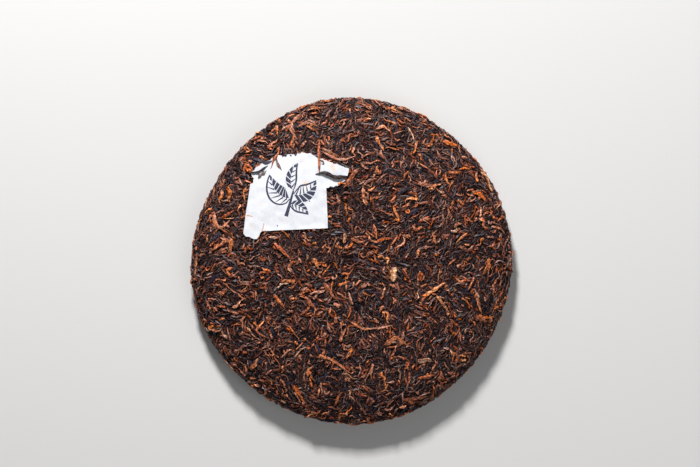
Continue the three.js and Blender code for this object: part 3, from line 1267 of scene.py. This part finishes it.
CUTS: dict[LeafKind, LeafCut] = {
    cut.kind: cut
    for cut in (
        LeafCut(
            LeafKind.CHARCOAL,
            (5.0, 13.0),
            (0.6, 1.4),
            (0.4, 0.75),
            (-0.8, 0.8),
            kinked=0.3,
            sides=3,
            stations=8,
        ),
        LeafCut(LeafKind.CINDER, (2.2, 5.5), (0.5, 1.0), (0.5, 0.9), sides=3, stations=6),
        LeafCut(
            LeafKind.SLATE,
            (5.0, 11.0),
            (1.5, 2.9),
            (0.16, 0.26),
            (-0.7, 0.7),
            hooked=0.0,
            curled=0.0,
            twist=(-0.7, 0.7),
            roll=0.2,
            lumpy=0.12,
            ceiling=(-0.35, 0.1),
            late=-0.15,
            sides=6,
            stations=7,
        ),
        LeafCut(
            LeafKind.UMBER,
            (3.2, 11.0),
            (0.6, 1.15),
            curled=0.1,
            ceiling=(-0.12, 0.28),
            sides=4,
            stations=8,
        ),
        LeafCut(
            LeafKind.RUSSET,
            (2.4, 9.5),
            (0.85, 1.85),
            hooked=0.15,
            tip=0.4,
            ceiling=(0.0, 0.24),
            clumped=0.08,
            late=0.1,
            stations=8,
        ),
        LeafCut(
            LeafKind.GOLDEN,
            (3.5, 11.0),
            (1.2, 2.2),
            bend=(-0.7, 0.7),
            hooked=0.12,
            tip=0.55,
            ceiling=(0.12, 0.18),
            clumped=0.08,
            late=0.3,
            sides=6,
        ),
        LeafCut(
            LeafKind.STRAW,
            (6.0, 12.0),
            (0.6, 1.0),
            (0.7, 0.95),
            (-0.5, 0.5),
            hooked=0.0,
            curled=0.0,
            wavy=0.15,
            kinked=0.1,
            blunt=0.6,
            lumpy=0.07,
            ceiling=(0.1, 0.15),
            late=0.3,
        ),
        LeafCut(
            LeafKind.CRUMB,
            (0.9, 2.5),
            (0.45, 1.0),
            ceiling=(-0.1, 0.3),
            late=0.15,
            sides=4,
            stations=3,
        ),
    )
}

BLUE_BLACK: Colour = (0.031, 0.031, 0.05)
TAN: Colour = (0.38, 0.2, 0.12)
AMBER: Colour = (0.62, 0.22, 0.065)

TINTS: dict[LeafKind, Tint] = {
    LeafKind.CHARCOAL: Tint(
        (0.042, 0.021, 0.018), (0.215, 0.107, 0.075), (0.27, 0.1, 0.055), 0.5, BLUE_BLACK, 0.45, (0.0, 1.5)
    ),
    LeafKind.CINDER: Tint(
        (0.042, 0.021, 0.018), (0.26, 0.124, 0.084), (0.27, 0.1, 0.055), 0.5, BLUE_BLACK, 0.45, (0.0, 1.5)
    ),
    LeafKind.SLATE: Tint(
        (0.014, 0.009, 0.01), (0.05, 0.03, 0.03), (0.06, 0.034, 0.032), 0.3, BLUE_BLACK, 0.6, sheen=0.1
    ),
    LeafKind.UMBER: Tint(
        (0.1, 0.038, 0.024), (0.345, 0.152, 0.092), (0.38, 0.15, 0.075), 0.5, TAN, 0.16, (0.15, 1.4)
    ),
    LeafKind.RUSSET: Tint(
        (0.24, 0.066, 0.024), (0.54, 0.168, 0.058), (0.6, 0.24, 0.1), 0.6, TAN, 0.12, (0.55, 1.27)
    ),
    LeafKind.GOLDEN: Tint(
        (0.42, 0.125, 0.036), (0.58, 0.218, 0.078), (0.62, 0.31, 0.152), 0.6, AMBER, 0.12, (0.55, 1.2)
    ),
    LeafKind.STRAW: Tint((0.5, 0.24, 0.11), (0.76, 0.43, 0.2), (0.6, 0.31, 0.15), 0.5, TAN, 0.2),
    LeafKind.CRUMB: Tint(
        (0.05, 0.025, 0.021), (0.42, 0.185, 0.115), (0.42, 0.17, 0.08), 0.3, BLUE_BLACK, 0.3, (0.2, 1.4)
    ),
}


@dataclass(frozen=True)
class ShownLeaf:
    """One leaf that lies where the front shows it.

    Args:
        width: Its full width in mm.
        line: Points that it passes from foot to tip, as X and Y in mm.
    """

    width: float
    line: tuple[Place, ...]

    def bent_line(self, stations: int) -> tuple[np.ndarray, np.ndarray]:
        """Rounds the corners of its line.

        Args:
            stations: At how many evenly spaced places the line is wanted.

        Returns:
            X and Y at those places.
        """
        corners = np.array(self.line)
        along = np.concatenate([[0], np.cumsum(np.hypot(*np.diff(corners, axis=0).T))])
        s = np.linspace(0, along[-1], stations)
        line = np.stack([np.interp(s, along, corners[:, 0]), np.interp(s, along, corners[:, 1])])
        for _ in range(2):
            line[:, 1:-1] = (line[:, :-2] + 2 * line[:, 1:-1] + line[:, 2:]) / 4
        return line[0], line[1]


# The leaves that lie over the ticket and the long stem on the rim, laid after the ticket.
LAID_LAST: dict[LeafKind, tuple[ShownLeaf, ...]] = {
    LeafKind.SLATE: (
        ShownLeaf(3.1, ((-2, 50.7), (-10.5, 50.5), (-16, 53.5), (-22, 52.3))),
        ShownLeaf(2.2, ((-60.5, 62), (-55, 60), (-51, 58.5), (-47.5, 60.5))),
        ShownLeaf(1.7, ((-61, 53), (-56.5, 53.5), (-50.5, 57.5))),
    ),
    LeafKind.STRAW: (ShownLeaf(2.0, ((77.9, 54), (81.7, 48.4), (84.2, 42))),),
    LeafKind.CHARCOAL: (
        ShownLeaf(1.1, ((-19, 61), (-17, 60), (-17.5, 58), (-19, 58.5))),
        ShownLeaf(1.5, ((-46.5, 63), (-44.5, 58.5), (-42.5, 54.5))),
    ),
    LeafKind.CINDER: (
        ShownLeaf(1.6, ((-56.5, 49.5), (-54.5, 52), (-51.5, 54.5))),
        ShownLeaf(1.4, ((-42, 63), (-39, 64))),
        ShownLeaf(1.0, ((-34.5, 63.5), (-33, 65))),
    ),
    LeafKind.UMBER: (
        ShownLeaf(2.0, ((-18, 67.5), (-13, 65), (-7.5, 63))),
        ShownLeaf(1.5, ((-39, 68.5), (-38, 65.5), (-36.5, 63))),
        ShownLeaf(1.2, ((-6, 46.5), (-3.5, 48), (-4.5, 49.5))),
    ),
    LeafKind.RUSSET: (
        ShownLeaf(2.2, ((-19.5, 72), (-20, 62.5), (-19.5, 53.5))),
        ShownLeaf(1.7, ((-43.5, 69), (-45.5, 62.5), (-49.5, 55.5))),
        ShownLeaf(2.4, ((2.5, 56), (0, 50), (-5.5, 44.5))),
        ShownLeaf(1.7, ((-64.5, 53), (-65.5, 56), (-63, 58), (-60, 56), (-60.5, 53.5), (-63, 54))),
        ShownLeaf(1.8, ((-64, 55.5), (-61.5, 54.5))),
        ShownLeaf(1.5, ((-8.5, 45.5), (-6.5, 47.5), (-3.5, 46))),
    ),
    LeafKind.GOLDEN: (
        ShownLeaf(2.3, ((-18, 66), (-11, 61.5), (-5, 60.5), (1.5, 63))),
        ShownLeaf(1.6, ((-56, 63), (-52.5, 62))),
    ),
}

# The leaves that stand out on the rest of the front, laid over the strips that lie at random.
ON_FRONT: dict[LeafKind, tuple[ShownLeaf, ...]] = {
    LeafKind.RUSSET: (
        ShownLeaf(1.6, ((-78.5, 26), (-71, 30.5))),
        ShownLeaf(2.4, ((-47, 11), (-37, 1.5))),
        ShownLeaf(2.2, ((-47, -19.5), (-40.5, -28.5))),
        ShownLeaf(2.2, ((13, 22.5), (15, 13.5))),
        ShownLeaf(2.2, ((14.5, 12), (24, 14))),
        ShownLeaf(2.7, ((-11, -25), (-7.5, -28))),
        ShownLeaf(2.0, ((-28, -21), (-21.5, -29.5))),
        ShownLeaf(2.0, ((39, -70.5), (46.5, -69), (50, -68.5))),
        ShownLeaf(2.1, ((30, -83.5), (45, -81.5))),
        ShownLeaf(2.6, ((54.5, 72), (63.5, 69.5))),
        ShownLeaf(2.2, ((72, 42), (77.5, 40), (81, 36))),
        ShownLeaf(1.6, ((-52.5, -35.5), (-58.5, -42), (-49, -46.5))),
        ShownLeaf(2.2, ((-35, -74.5), (-29, -84.5))),
    ),
    LeafKind.GOLDEN: (
        ShownLeaf(1.9, ((-83, 30), (-82.5, 22), (-79, 19), (-73.5, 25))),
        ShownLeaf(2.1, ((-78, 43), (-80, 34.5))),
        ShownLeaf(2.3, ((-74, 45), (-73.5, 34.5))),
        ShownLeaf(1.9, ((-80.5, 8.5), (-75, 13.5), (-71, 9))),
        ShownLeaf(1.7, ((-71.5, -4), (-75.5, -5), (-73.5, -9), (-71.5, -6.5))),
        ShownLeaf(1.9, ((-93.5, 2), (-95, -10.5))),
        ShownLeaf(2.3, ((-23, 2), (-20, -4.5))),
        ShownLeaf(2.1, ((-36, 83.5), (-31, 89))),
        ShownLeaf(2.0, ((-40.5, 78), (-37, 81), (-33.5, 72.5))),
        ShownLeaf(1.7, ((-33, 80.5), (-27.5, 83.5), (-19.5, 81))),
        ShownLeaf(1.5, ((-1, 13.5), (5, 11.5), (8.5, 12.5))),
        ShownLeaf(2.0, ((24.5, 33), (28, 24.5))),
        ShownLeaf(1.8, ((14, 75.5), (19, 66))),
        ShownLeaf(1.9, ((14.5, 79.5), (18.5, 81.5), (23, 78))),
        ShownLeaf(1.8, ((6.5, 44.5), (6.5, 39.5), (9, 35))),
        ShownLeaf(2.0, ((30, -4.5), (34, -10.5))),
        ShownLeaf(1.9, ((-16.5, -13), (-10.5, -22.5))),
        ShownLeaf(1.7, ((-8.5, -14.5), (-1.5, -12))),
        ShownLeaf(1.9, ((-1, -37), (6, -40), (15, -40.5))),
        ShownLeaf(1.6, ((14.5, -40.5), (24, -38.5))),
        ShownLeaf(2.5, ((19.5, -50), (26.5, -45.5), (33, -50))),
        ShownLeaf(1.5, ((-15, -57), (-1.5, -66.5))),
        ShownLeaf(2.4, ((42, -20.5), (51, -16), (56, -13))),
        ShownLeaf(2.1, ((74.5, -21.5), (78, -31.5))),
        ShownLeaf(2.2, ((82, 2), (82, -6.5))),
        ShownLeaf(2.3, ((77, 26.5), (81, 19.5))),
        ShownLeaf(2.4, ((-61, -65.5), (-56.5, -58.5))),
        ShownLeaf(1.9, ((-10.5, -86.5), (-9, -81.5), (-5, -78))),
    ),
    LeafKind.STRAW: (
        ShownLeaf(2.4, ((-4.5, 17), (-5, 11))),
        ShownLeaf(3.6, ((25, -3.5), (24.5, -12))),
        ShownLeaf(1.2, ((-6, -67), (3, -71))),
        ShownLeaf(2.6, ((39.5, -60), (47.5, -59))),
        ShownLeaf(1.5, ((50.5, -20.5), (57, -29))),
    ),
}


@dataclass
class LeafCoat:
    """All the strips that cover the core, on both faces and round the rim.

    Args:
        form: The form that they lie on.
        front_counts: How many strips of each kind lie on the front.
        back_share: How many lie on the back, as a share of those.
        laid: The strips that have been laid.
    """

    form: CakeForm
    front_counts: dict[LeafKind, int]
    back_share: float = 0.62
    laid: dict[LeafKind, list[Strips]] = field(default_factory=dict)

    def lay(self, ticket: "PaperTicket") -> LeafBed:
        """Lays the strips on both faces, low under the ticket.

        Args:
            ticket: The ticket that will lie on them.

        Returns:
            The front's bed, for what is laid over it.
        """
        front = LeafBed(self.form, Face.FRONT, seed=3, past_rim=5.0)
        front.roof[ticket.cells_under(front)] = ticket.level
        back = LeafBed(self.form, Face.BACK, seed=4, past_rim=0.0, floor=-0.75)
        for bed, share in ((front, 1.0), (back, self.back_share)):
            counts = [(CUTS[kind], int(share * count)) for kind, count in self.front_counts.items()]
            for strips in bed.lay(counts):
                self.laid.setdefault(strips.cut.kind, []).append(strips)
        return front

    def lay_shown(
        self, bed: LeafBed, shown: dict[LeafKind, tuple[ShownLeaf, ...]], ceiling: float
    ) -> None:
        """Lays leaves at their own places.

        Args:
            bed: The front's bed.
            shown: The leaves of each kind.
            ceiling: How high their middles may lie over the pressed surface.
        """
        for kind, leaves in shown.items():
            cut = replace(
                CUTS[kind], stations=13, sides=6, flatness=(0.22, 0.36), twist=(-0.4, 0.4), roll=0.18
            )
            self.laid[kind].append(bed.lay_by_hand(cut, leaves, ceiling))

    def build(self) -> None:
        """Makes one piece of all the strips of each kind."""
        mesher = StripMesher(self.form, 21)
        for kind, strips in self.laid.items():
            parts = [mesher.tubes(one, TINTS[kind]) for one in strips]
            for part, places in zip(parts, mesher.bake_map(strips)):
                part.bake_map = places
            finish = LeafFinish(kind.value + "_leaf", TINTS[kind].sheen).make()
            made = new_piece(kind.value, joined(parts), finish, sharp=40)
            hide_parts("tea_cake")


@dataclass(frozen=True)
class PrintedLeaf:
    """One leaf of the printed picture, cut as on a woodblock: one half dark with pale veins, the other pale.

    Args:
        foot: Where its midrib starts, in mm from the middle of the picture.
        pull: The point that bends the midrib.
        tip: Where it ends.
        half_width: Half its width at the widest place.
        veins: How many veins each half has.
        dark_side: 1 where the half left of the midrib is dark, -1 where the right one is.
        slant: How far up the midrib a vein runs on its way to the edge, as a share.
        rib: Half the width of the pale midrib.
    """

    foot: Place
    pull: Place
    tip: Place
    half_width: float
    veins: int
    dark_side: int
    slant: float = 0.13
    rib: float = 0.22

    def spot(self, t: float, aside: float) -> np.ndarray:
        """Finds a place beside the midrib.

        Args:
            t: How far up the midrib it is, as a share.
            aside: How far to its left.

        Returns:
            The place.
        """
        foot, pull, tip = np.array(self.foot), np.array(self.pull), np.array(self.tip)
        way = (1 - t) * (pull - foot) + t * (tip - pull)
        way /= math.hypot(*way)
        on_midrib = (1 - t) ** 2 * foot + 2 * t * (1 - t) * pull + t**2 * tip
        return on_midrib + aside * np.array([-way[1], way[0]])

    def edge(self, t: float) -> float:
        """Its half width at a share t of the midrib."""
        return self.half_width * math.sin(math.pi * min(max(t, 0.0), 1.0) ** 0.8) ** 0.85

    def shapes(self) -> list[np.ndarray]:
        """Works out the inked outlines.

        Returns:
            The outlines, each as its points.
        """
        inked, side = [], self.dark_side
        first, covered = 0.02, 0.92
        pitch = covered / self.veins
        for k in range(self.veins):
            start, root, stop = (first + (k + part) * pitch for part in (0.04, 0.5, 0.86))
            outer = [min(t + self.slant, 0.995) for t in (stop, (start + stop) / 2, start)]
            inner = [self.spot(t, side * min(self.rib, 0.5 * self.edge(t))) for t in (start, stop)]
            inked.append(np.array(inner + [self.spot(t, side * self.edge(t)) for t in outer]))
            end = root + self.slant
            vein = [self.spot(root, 0), self.spot(min(end, 0.99), -0.85 * side * self.edge(end))]
            inked.append(stroke(np.array(vein), (0.95, 0.3)))
        line = np.array([self.spot(t, -side * self.edge(t)) for t in np.linspace(0, 1, 13)])
        inked.append(stroke(line, 0.45 + 0.7 * np.sin(np.linspace(0.2, 2.6, 13))))
        return inked


def anticlockwise(shape: np.ndarray) -> np.ndarray:
    """Puts the points of a closed shape in the order that keeps its inside to their left.

    Args:
        shape: The points.

    Returns:
        The same points in that order.
    """
    x, y = shape.T
    area = float((x * np.roll(y, -1) - y * np.roll(x, -1)).sum())
    return shape if area > 0 else shape[::-1]


def stroke(line: np.ndarray, widths: Sequence[float] | np.ndarray) -> np.ndarray:
    """Draws the outline of a stroke along a line.

    Args:
        line: The points of the line.
        widths: How wide the stroke is at each of them.

    Returns:
        The points of the outline.
    """
    way = np.gradient(line, axis=0)
    way /= np.maximum(np.hypot(*way.T)[:, None], TINY)
    aside = np.stack([-way[:, 1], way[:, 0]], axis=1) * np.asarray(widths)[:, None] / 2
    return np.concatenate([line + aside, (line - aside)[::-1]])


@dataclass(frozen=True)
class TeaSprig:
    """The printed picture: a tea sprig of leaves and a bud.

    Args:
        middle: Where its middle lies on the front.
        leaves: Its leaves.
        stalk: The line of its stalk, from top to foot.
        stalk_widths: How wide the stalk is along that line.
    """

    middle: Place = (-35.8, 42.9)
    leaves: tuple[PrintedLeaf, ...] = (
        PrintedLeaf((-1.6, -5.4), (-11.5, -5.0), (-13.6, 9.0), 5.6, 7, -1),
        PrintedLeaf((0.6, -2.6), (9.0, -4.6), (14.2, 5.4), 5.0, 6, -1),
        PrintedLeaf((0.5, -0.2), (-3.2, 8.0), (3.0, 15.9), 3.2, 5, 1),
        PrintedLeaf((-1.6, -8.8), (4.6, -8.8), (9.6, -14.6), 3.3, 5, 1),
    )
    stalk: tuple[Place, ...] = ((0.6, -0.4), (-0.4, -4.0), (-1.6, -8.5), (-3.8, -15.9))
    stalk_widths: tuple[float, ...] = (0.9, 1.3, 1.6, 2.3)

    def shapes(self) -> list[np.ndarray]:
        """Gathers the inked outlines.

        Returns:
            The outlines, at their place on the ticket.
        """
        inked = [stroke(np.array(self.stalk), self.stalk_widths)]
        for leaf in self.leaves:
            inked += leaf.shapes()
        return [shape + self.middle for shape in inked]


@dataclass(frozen=True)
class Stain:
    """A soft tea stain.

    Args:
        x: Its middle, across.
        y: Its middle, up the front.
        across: Its reach to either side.
        up: Its reach up and down.
        strength: How strong it is.
    """

    x: float
    y: float
    across: float
    up: float
    strength: float

    def at(self, places: np.ndarray) -> np.ndarray:
        """How strong it is at some places."""
        far = ((places[:, 0] - self.x) / self.across) ** 2 + ((places[:, 1] - self.y) / self.up) ** 2
        return self.strength * np.exp(-far)


@dataclass
class PaperTicket:
    """The torn sheet of thin paper pressed into the front.

    Its outline runs anticlockwise from the bottom right corner. It has straight cut sides at the right, the
    bottom and the left, and torn ones elsewhere.

    Args:
        form: The form that it lies on.
        outline: The corners of the sheet.
        cut_sides: Which of its sides are cut.
        level: How high the strips under it may reach over the pressed surface.
        rise: How far above that they still lift the sheet.
        thickness: How thick it is.
        clear: How far it lies clear of the strips.
        crumple: How deep its soft waves are.
        mesh_size: How far apart its points are.
        torn: How ragged its torn sides are.
        cut_ragged: How ragged the cut ones are, as a share of that.
        stains: The stains on it.
        folds: The lines of its brown folds.
        specks: The specks of ink on it.
    """

    form: CakeForm
    outline: tuple[Place, ...] = (
        (-14.5, 19.9),
        (-15.5, 44.0),
        (-8.8, 45.2),
        (-4.0, 49.3),
        (-1.9, 55.5),
        (-18.8, 61.5),
        (-26.0, 64.8),
        (-30.3, 65.5),
        (-34.1, 64.1),
        (-43.9, 63.7),
        (-53.8, 58.9),
        (-60.4, 53.5),
        (-58.8, 49.7),
        (-61.0, 46.4),
        (-63.8, 28.3),
        (-65.2, 16.7),
        (-62.8, 14.8),
        (-57.1, 13.4),
        (-53.3, 18.2),
    )
    cut_sides: tuple[int, ...] = (0, 13, 14, 18)
    level: float = -0.05
    rise: float = 0.45
    thickness: float = 0.12
    clear: float = 0.12
    crumple: float = 0.07
    mesh_size: float = 0.85
    torn: float = 0.32
    cut_ragged: float = 0.1
    stains: tuple[Stain, ...] = (
        Stain(-11.9, 57.0, 1.0, 1.8, 0.6),
        Stain(-10.9, 54.6, 0.8, 1.4, 0.5),
        Stain(-28.3, 46.4, 1.1, 1.6, 0.7),
        Stain(-30.6, 61.0, 0.9, 2.0, 0.25),
        Stain(-43.0, 61.2, 1.8, 1.2, 0.2),
        Stain(-60.3, 21.0, 2.0, 2.4, 0.14),
        Stain(-55.6, 34.0, 3.0, 1.6, 0.1),
        Stain(-40.0, 24.6, 4.0, 1.6, 0.08),
    )
    folds: tuple[tuple[Place, ...], ...] = (
        ((-56.6, 13.8), (-54.4, 17.2), (-53.5, 19.6), (-53.0, 22.8)),
        ((-63.3, 27.5), (-61.6, 27.3), (-59.6, 26.8)),
    )
    specks: tuple[Place, ...] = ((-25.6, 36.1), (-44.8, 21.3), (-34.2, 33.4))

    def covers(self, x: np.ndarray, y: np.ndarray) -> np.ndarray:
        """Tells which points seen from above are inside the sheet's outline.

        Args:
            x: The points across.
            y: The points up the front.

        Returns:
            A truth value for each point.
        """
        inside = np.zeros(len(x), bool)
        corners = np.array(self.outline)
        for (ax, ay), (bx, by) in zip(corners, np.roll(corners, 1, axis=0)):
            spans = (ay > y) != (by > y)
            slope = (bx - ax) / (by - ay) if by != ay else 0.0
            inside ^= spans & (x < slope * (y - ay) + ax)
        return inside

    def cells_under(self, bed: LeafBed) -> np.ndarray:
        """Finds the bed's cells that the sheet covers.

        Args:
            bed: The front's bed.

        Returns:
            A truth value for each cell.
        """
        places = (np.arange(bed.side) + 0.5) * bed.cell - bed.half
        u, v = np.meshgrid(places, places)
        point, _ = self.form.place(Face.FRONT, u.ravel(), v.ravel(), np.zeros(u.size))
        near = np.hypot(u, v).ravel() < self.form.reach[Face.FRONT]
        return self.covers(point[:, 0], point[:, 1]) & near

    def edge(self) -> np.ndarray:
        """Draws the sheet's edge, straight where it was cut and ragged where it was torn.

        Returns:
            The points of the edge.
        """
        draw = np.random.default_rng(8)
        tears = Ripples(18, 3.0, 9.0)
        points = []
        corners = np.array(self.outline)
        for k, (start, stop) in enumerate(zip(corners, np.roll(corners, -1, axis=0))):
            way = stop - start
            steps = max(1, round(math.hypot(*way) / self.mesh_size))
            aside = np.array([-way[1], way[0]]) / math.hypot(*way)
            ragged = self.cut_ragged if k in self.cut_sides else 1.0
            for i in range(steps):
                spot = start + way * i / steps
                off = draw.normal(0, 0.3) + tears.at(*spot) if i else 0.0
                points.append(spot + aside * off * ragged * self.torn)
        return np.array(points)

    def marks(self) -> list[tuple[np.ndarray, int]]:
        """Gathers what is on the paper.

        Returns:
            The outlines, each with its colour channel: 0 for ink, 1 for a fold.
        """
        speck_radius = 0.45
        turn = TAU * np.arange(6) / 6
        dot = np.stack([np.cos(turn), np.sin(turn)], axis=1) * speck_radius
        inked = TeaSprig().shapes() + [dot + speck for speck in self.specks]
        creased = [stroke(np.array(fold), np.linspace(0.9, 0.4, len(fold))) for fold in self.folds]
        return [(shape, 0) for shape in inked] + [(shape, 1) for shape in creased]

    def cut_sheet(self) -> tuple[np.ndarray, np.ndarray, np.ndarray]:
        """Divides the flat sheet into triangles along the edges of all that is printed on it.

        Returns:
            The flat points, the corners of each triangle, and the ink and fold of each triangle.
        """
        edge = self.edge()
        rows = self.mesh_size * math.sqrt(0.75)
        low, high = edge.min(axis=0), edge.max(axis=0)
        x, y = np.meshgrid(np.arange(low[0], high[0], self.mesh_size), np.arange(low[1], high[1], rows))
        x[1::2] += self.mesh_size / 2
        inner = np.stack([x.ravel(), y.ravel()], axis=1)
        inner = inner[self.covers(*inner.T)]
        gap = np.linalg.norm(inner[:, None] - edge[None], axis=-1).min(axis=1)
        inner = inner[gap > 0.6 * self.mesh_size]
        marks = self.marks()
        groups = [edge, *(anticlockwise(shape) for shape, _ in marks)]
        firsts = np.cumsum([0] + [len(group) for group in groups])
        loops = [list(range(first, first + len(group))) for first, group in zip(firsts, groups)]
        spots = [Vector(spot) for spot in np.concatenate([*groups, inner])]
        flat, _, faces, _, _, owners = delaunay_2d_cdt(spots, [], loops, 1, 1e-4)
        channels = [None, *(channel for _, channel in marks)]
        found = np.zeros((len(faces), 2))
        for row, owned in zip(found, owners):
            for owner in owned:
                if channels[owner] is not None:
                    row[channels[owner]] = 1
        on_sheet = np.array([0 in owned for owned in owners])
        return np.array([tuple(spot) for spot in flat]), np.array(faces)[on_sheet], found[on_sheet]

    def draped(self, bed: LeafBed) -> np.ndarray:
        """Works out how high the sheet lies, clear of the strips and bending softly.

        Args:
            bed: The front's bed, with the strips under the sheet laid.

        Returns:
            Its height over the pressed surface in each cell.
        """
        grid = np.minimum(bed.height, self.level + self.rise).reshape(bed.side, bed.side)
        for axis in (0, 1):
            grid = np.max([np.roll(grid, k, axis) for k in range(-4, 5)], axis=0)
        for _ in range(2):
            for axis in (0, 1):
                grid = np.mean([np.roll(grid, k, axis) for k in (-2, -1, 0, 1, 2)], axis=0)
        return grid.ravel() + self.clear

    def build(self, bed: LeafBed) -> None:
        """Makes the sheet and raises the bed to it.

        Args:
            bed: The front's bed, with the strips under the sheet laid.
        """
        flat, faces, marked = self.cut_sheet()
        u, v = self.form.chart_of(*flat.T)
        drape = self.draped(bed)
        soft = Ripples(14, 5.0, 17.0, count=14)
        lift = sampled(drape, bed, u, v) + self.crumple * (soft.at(u, v) + 1.4)
        top, off = self.form.place(Face.FRONT, u, v, lift)
        count = len(top)
        edges = {(a, b) for face in faces for a, b in zip(face, np.roll(face, -1))}
        rim = np.array([(a, b) for a, b in edges if (b, a) not in edges])
        rim = rim[np.lexsort((rim[:, 1], rim[:, 0]))]
        sides = np.stack([rim[:, 1], rim[:, 0], rim[:, 0] + count, rim[:, 1] + count], axis=1)
        corners = np.concatenate([faces.ravel(), (faces[:, ::-1] + count).ravel(), sides.ravel()])
        starts = np.concatenate([3 * np.arange(2 * len(faces)), 6 * len(faces) + 4 * np.arange(len(sides))])
        stain = np.clip(sum(one.at(flat) for one in self.stains), 0, 1)
        marks = np.zeros((len(corners), 4))
        marks[:, 2] = stain[corners % count]
        marks[: faces.size, :2] = np.repeat(marked, 3, axis=0)
        marks[:, 3] = 1
        points = np.concatenate([top, top - off * self.thickness])
        data = PieceData(points, corners, starts, marks=marks)
        sheet = new_piece("torn_ticket", data, PaperFinish().make(), sharp=50)
        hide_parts("paper_ticket")
        under = self.cells_under(bed)
        bed.height[under] = drape[under] + 2 * self.crumple
        bed.roof[under] = bed.open_sky


def sampled(grid: np.ndarray, bed: LeafBed, u: np.ndarray, v: np.ndarray) -> np.ndarray:
    """Reads a grid over the bed's cells at places between their middles.

    Args:
        grid: The value in each cell.
        bed: The bed.
        u: The places across the chart.
        v: The places up the chart.

    Returns:
        The value at each place.
    """
    x, y = (u + bed.half) / bed.cell - 0.5, (v + bed.half) / bed.cell - 0.5
    column, row = x.astype(int), y.astype(int)
    right, up = x - column, y - row
    first = row * bed.side + column
    low = grid[first] * (1 - right) + grid[first + 1] * right
    high = grid[first + bed.side] * (1 - right) + grid[first + bed.side + 1] * right
    return low * (1 - up) + high * up


@dataclass(frozen=True)
class SoftLight:
    """A square soft light aimed at the cake.

    Args:
        name: Its name.
        place: Where it hangs.
        size: How wide it is.
        power: How strong it is, in watts.
    """

    name: str
    place: tuple[float, float, float]
    size: float
    power: float

    def build(self) -> None:
        """Adds the light."""
        lamp = bpy.data.lights.new(self.name, "AREA")
        lamp.size, lamp.energy = self.size, self.power
        holder = bpy.data.objects.new(self.name, lamp)
        holder.location = self.place
        holder.rotation_euler = (-Vector(self.place)).to_track_quat("-Z", "Y").to_euler()
        bpy.context.collection.objects.link(holder)


@dataclass
class Studio:
    """The pale floor, the soft lights and the camera over the cake.

    Args:
        lights: The lights.
        room: The colour of the light from all round.
        room_strength: How strong that light is.
        paint: The floor's colour.
        floor_reach: How far the floor runs to each side.
        distance: How far the camera is from the front.
        view_width: How much of the front it takes in from side to side.
        middle: The place in the middle of its picture.
        front: The height that it is aimed at.
    """

    lights: tuple[SoftLight, ...] = (
        SoftLight("key_light", (-0.2, 1.05, 0.82), 0.22, 29.6),
        SoftLight("fill_light", (0.6, -0.7, 0.9), 1.2, 5.0),
    )
    room: Colour = (0.9, 0.95, 1.0)
    room_strength: float = 0.11
    paint: Colour = (0.62, 0.61, 0.6)
    floor_reach: float = 3.0
    distance: float = 3.0
    view_width: float = 0.42
    middle: Place = (-0.0013, 0.0167)
    front: float = 0.022

    def build(self) -> None:
        """Makes the whole studio."""
        self.floor()
        for light in self.lights:
            light.build()
        world = bpy.data.worlds.new("soft_room")
        world.use_nodes = True
        background = world.node_tree.nodes["Background"]
        background.inputs["Color"].default_value = (*self.room, 1)
        background.inputs["Strength"].default_value = self.room_strength
        bpy.context.scene.world = world
        bpy.context.scene.view_settings.view_transform = "Standard"
        self.camera()

    def floor(self) -> None:
        """Lays the floor."""
        mesh = bpy.data.meshes.new("pale_floor")
        far = self.floor_reach
        corners = [(-far, -far, 0), (far, -far, 0), (far, far, 0), (-far, far, 0)]
        mesh.from_pydata(corners, [], [(0, 1, 2, 3)])
        plate = bpy.data.objects.new("pale_floor", mesh)
        material, _, shader = new_finish("pale_floor_paint")
        shader.inputs["Base Color"].default_value = (*self.paint, 1)
        shader.inputs["Roughness"].default_value = 0.8
        mesh.materials.append(material)
        bpy.context.collection.objects.link(plate)

    def camera(self) -> None:
        """Adds the camera, looking straight down with the top of the cake's picture up."""
        data = bpy.data.cameras.new("camera")
        data.lens = data.sensor_width * self.distance / self.view_width
        data.clip_end = 20.0
        holder = bpy.data.objects.new("camera", data)
        holder.location = (*self.middle, self.front + self.distance)
        bpy.context.collection.objects.link(holder)
        bpy.context.scene.camera = holder


def main() -> None:
    """Builds the cake, its ticket and the studio."""
    logging.basicConfig(level=logging.INFO, format="%(name)s: %(message)s")
    form = CakeForm()
    Studio().build()
    PressedCore(form).build()
    ticket = PaperTicket(form)
    counts = {
        LeafKind.SLATE: 200,
        LeafKind.CHARCOAL: 2250,
        LeafKind.CINDER: 3700,
        LeafKind.UMBER: 2030,
        LeafKind.RUSSET: 1440,
        LeafKind.GOLDEN: 340,
        LeafKind.STRAW: 10,
        LeafKind.CRUMB: 4000,
    }
    front_ceiling, last_ceiling = 0.32, 1.1
    coat = LeafCoat(form, counts)
    bed = coat.lay(ticket)
    coat.lay_shown(bed, ON_FRONT, front_ceiling)
    ticket.build(bed)
    coat.lay_shown(bed, LAID_LAST, last_ceiling)
    coat.build()


if __name__ == "__main__":
    main()
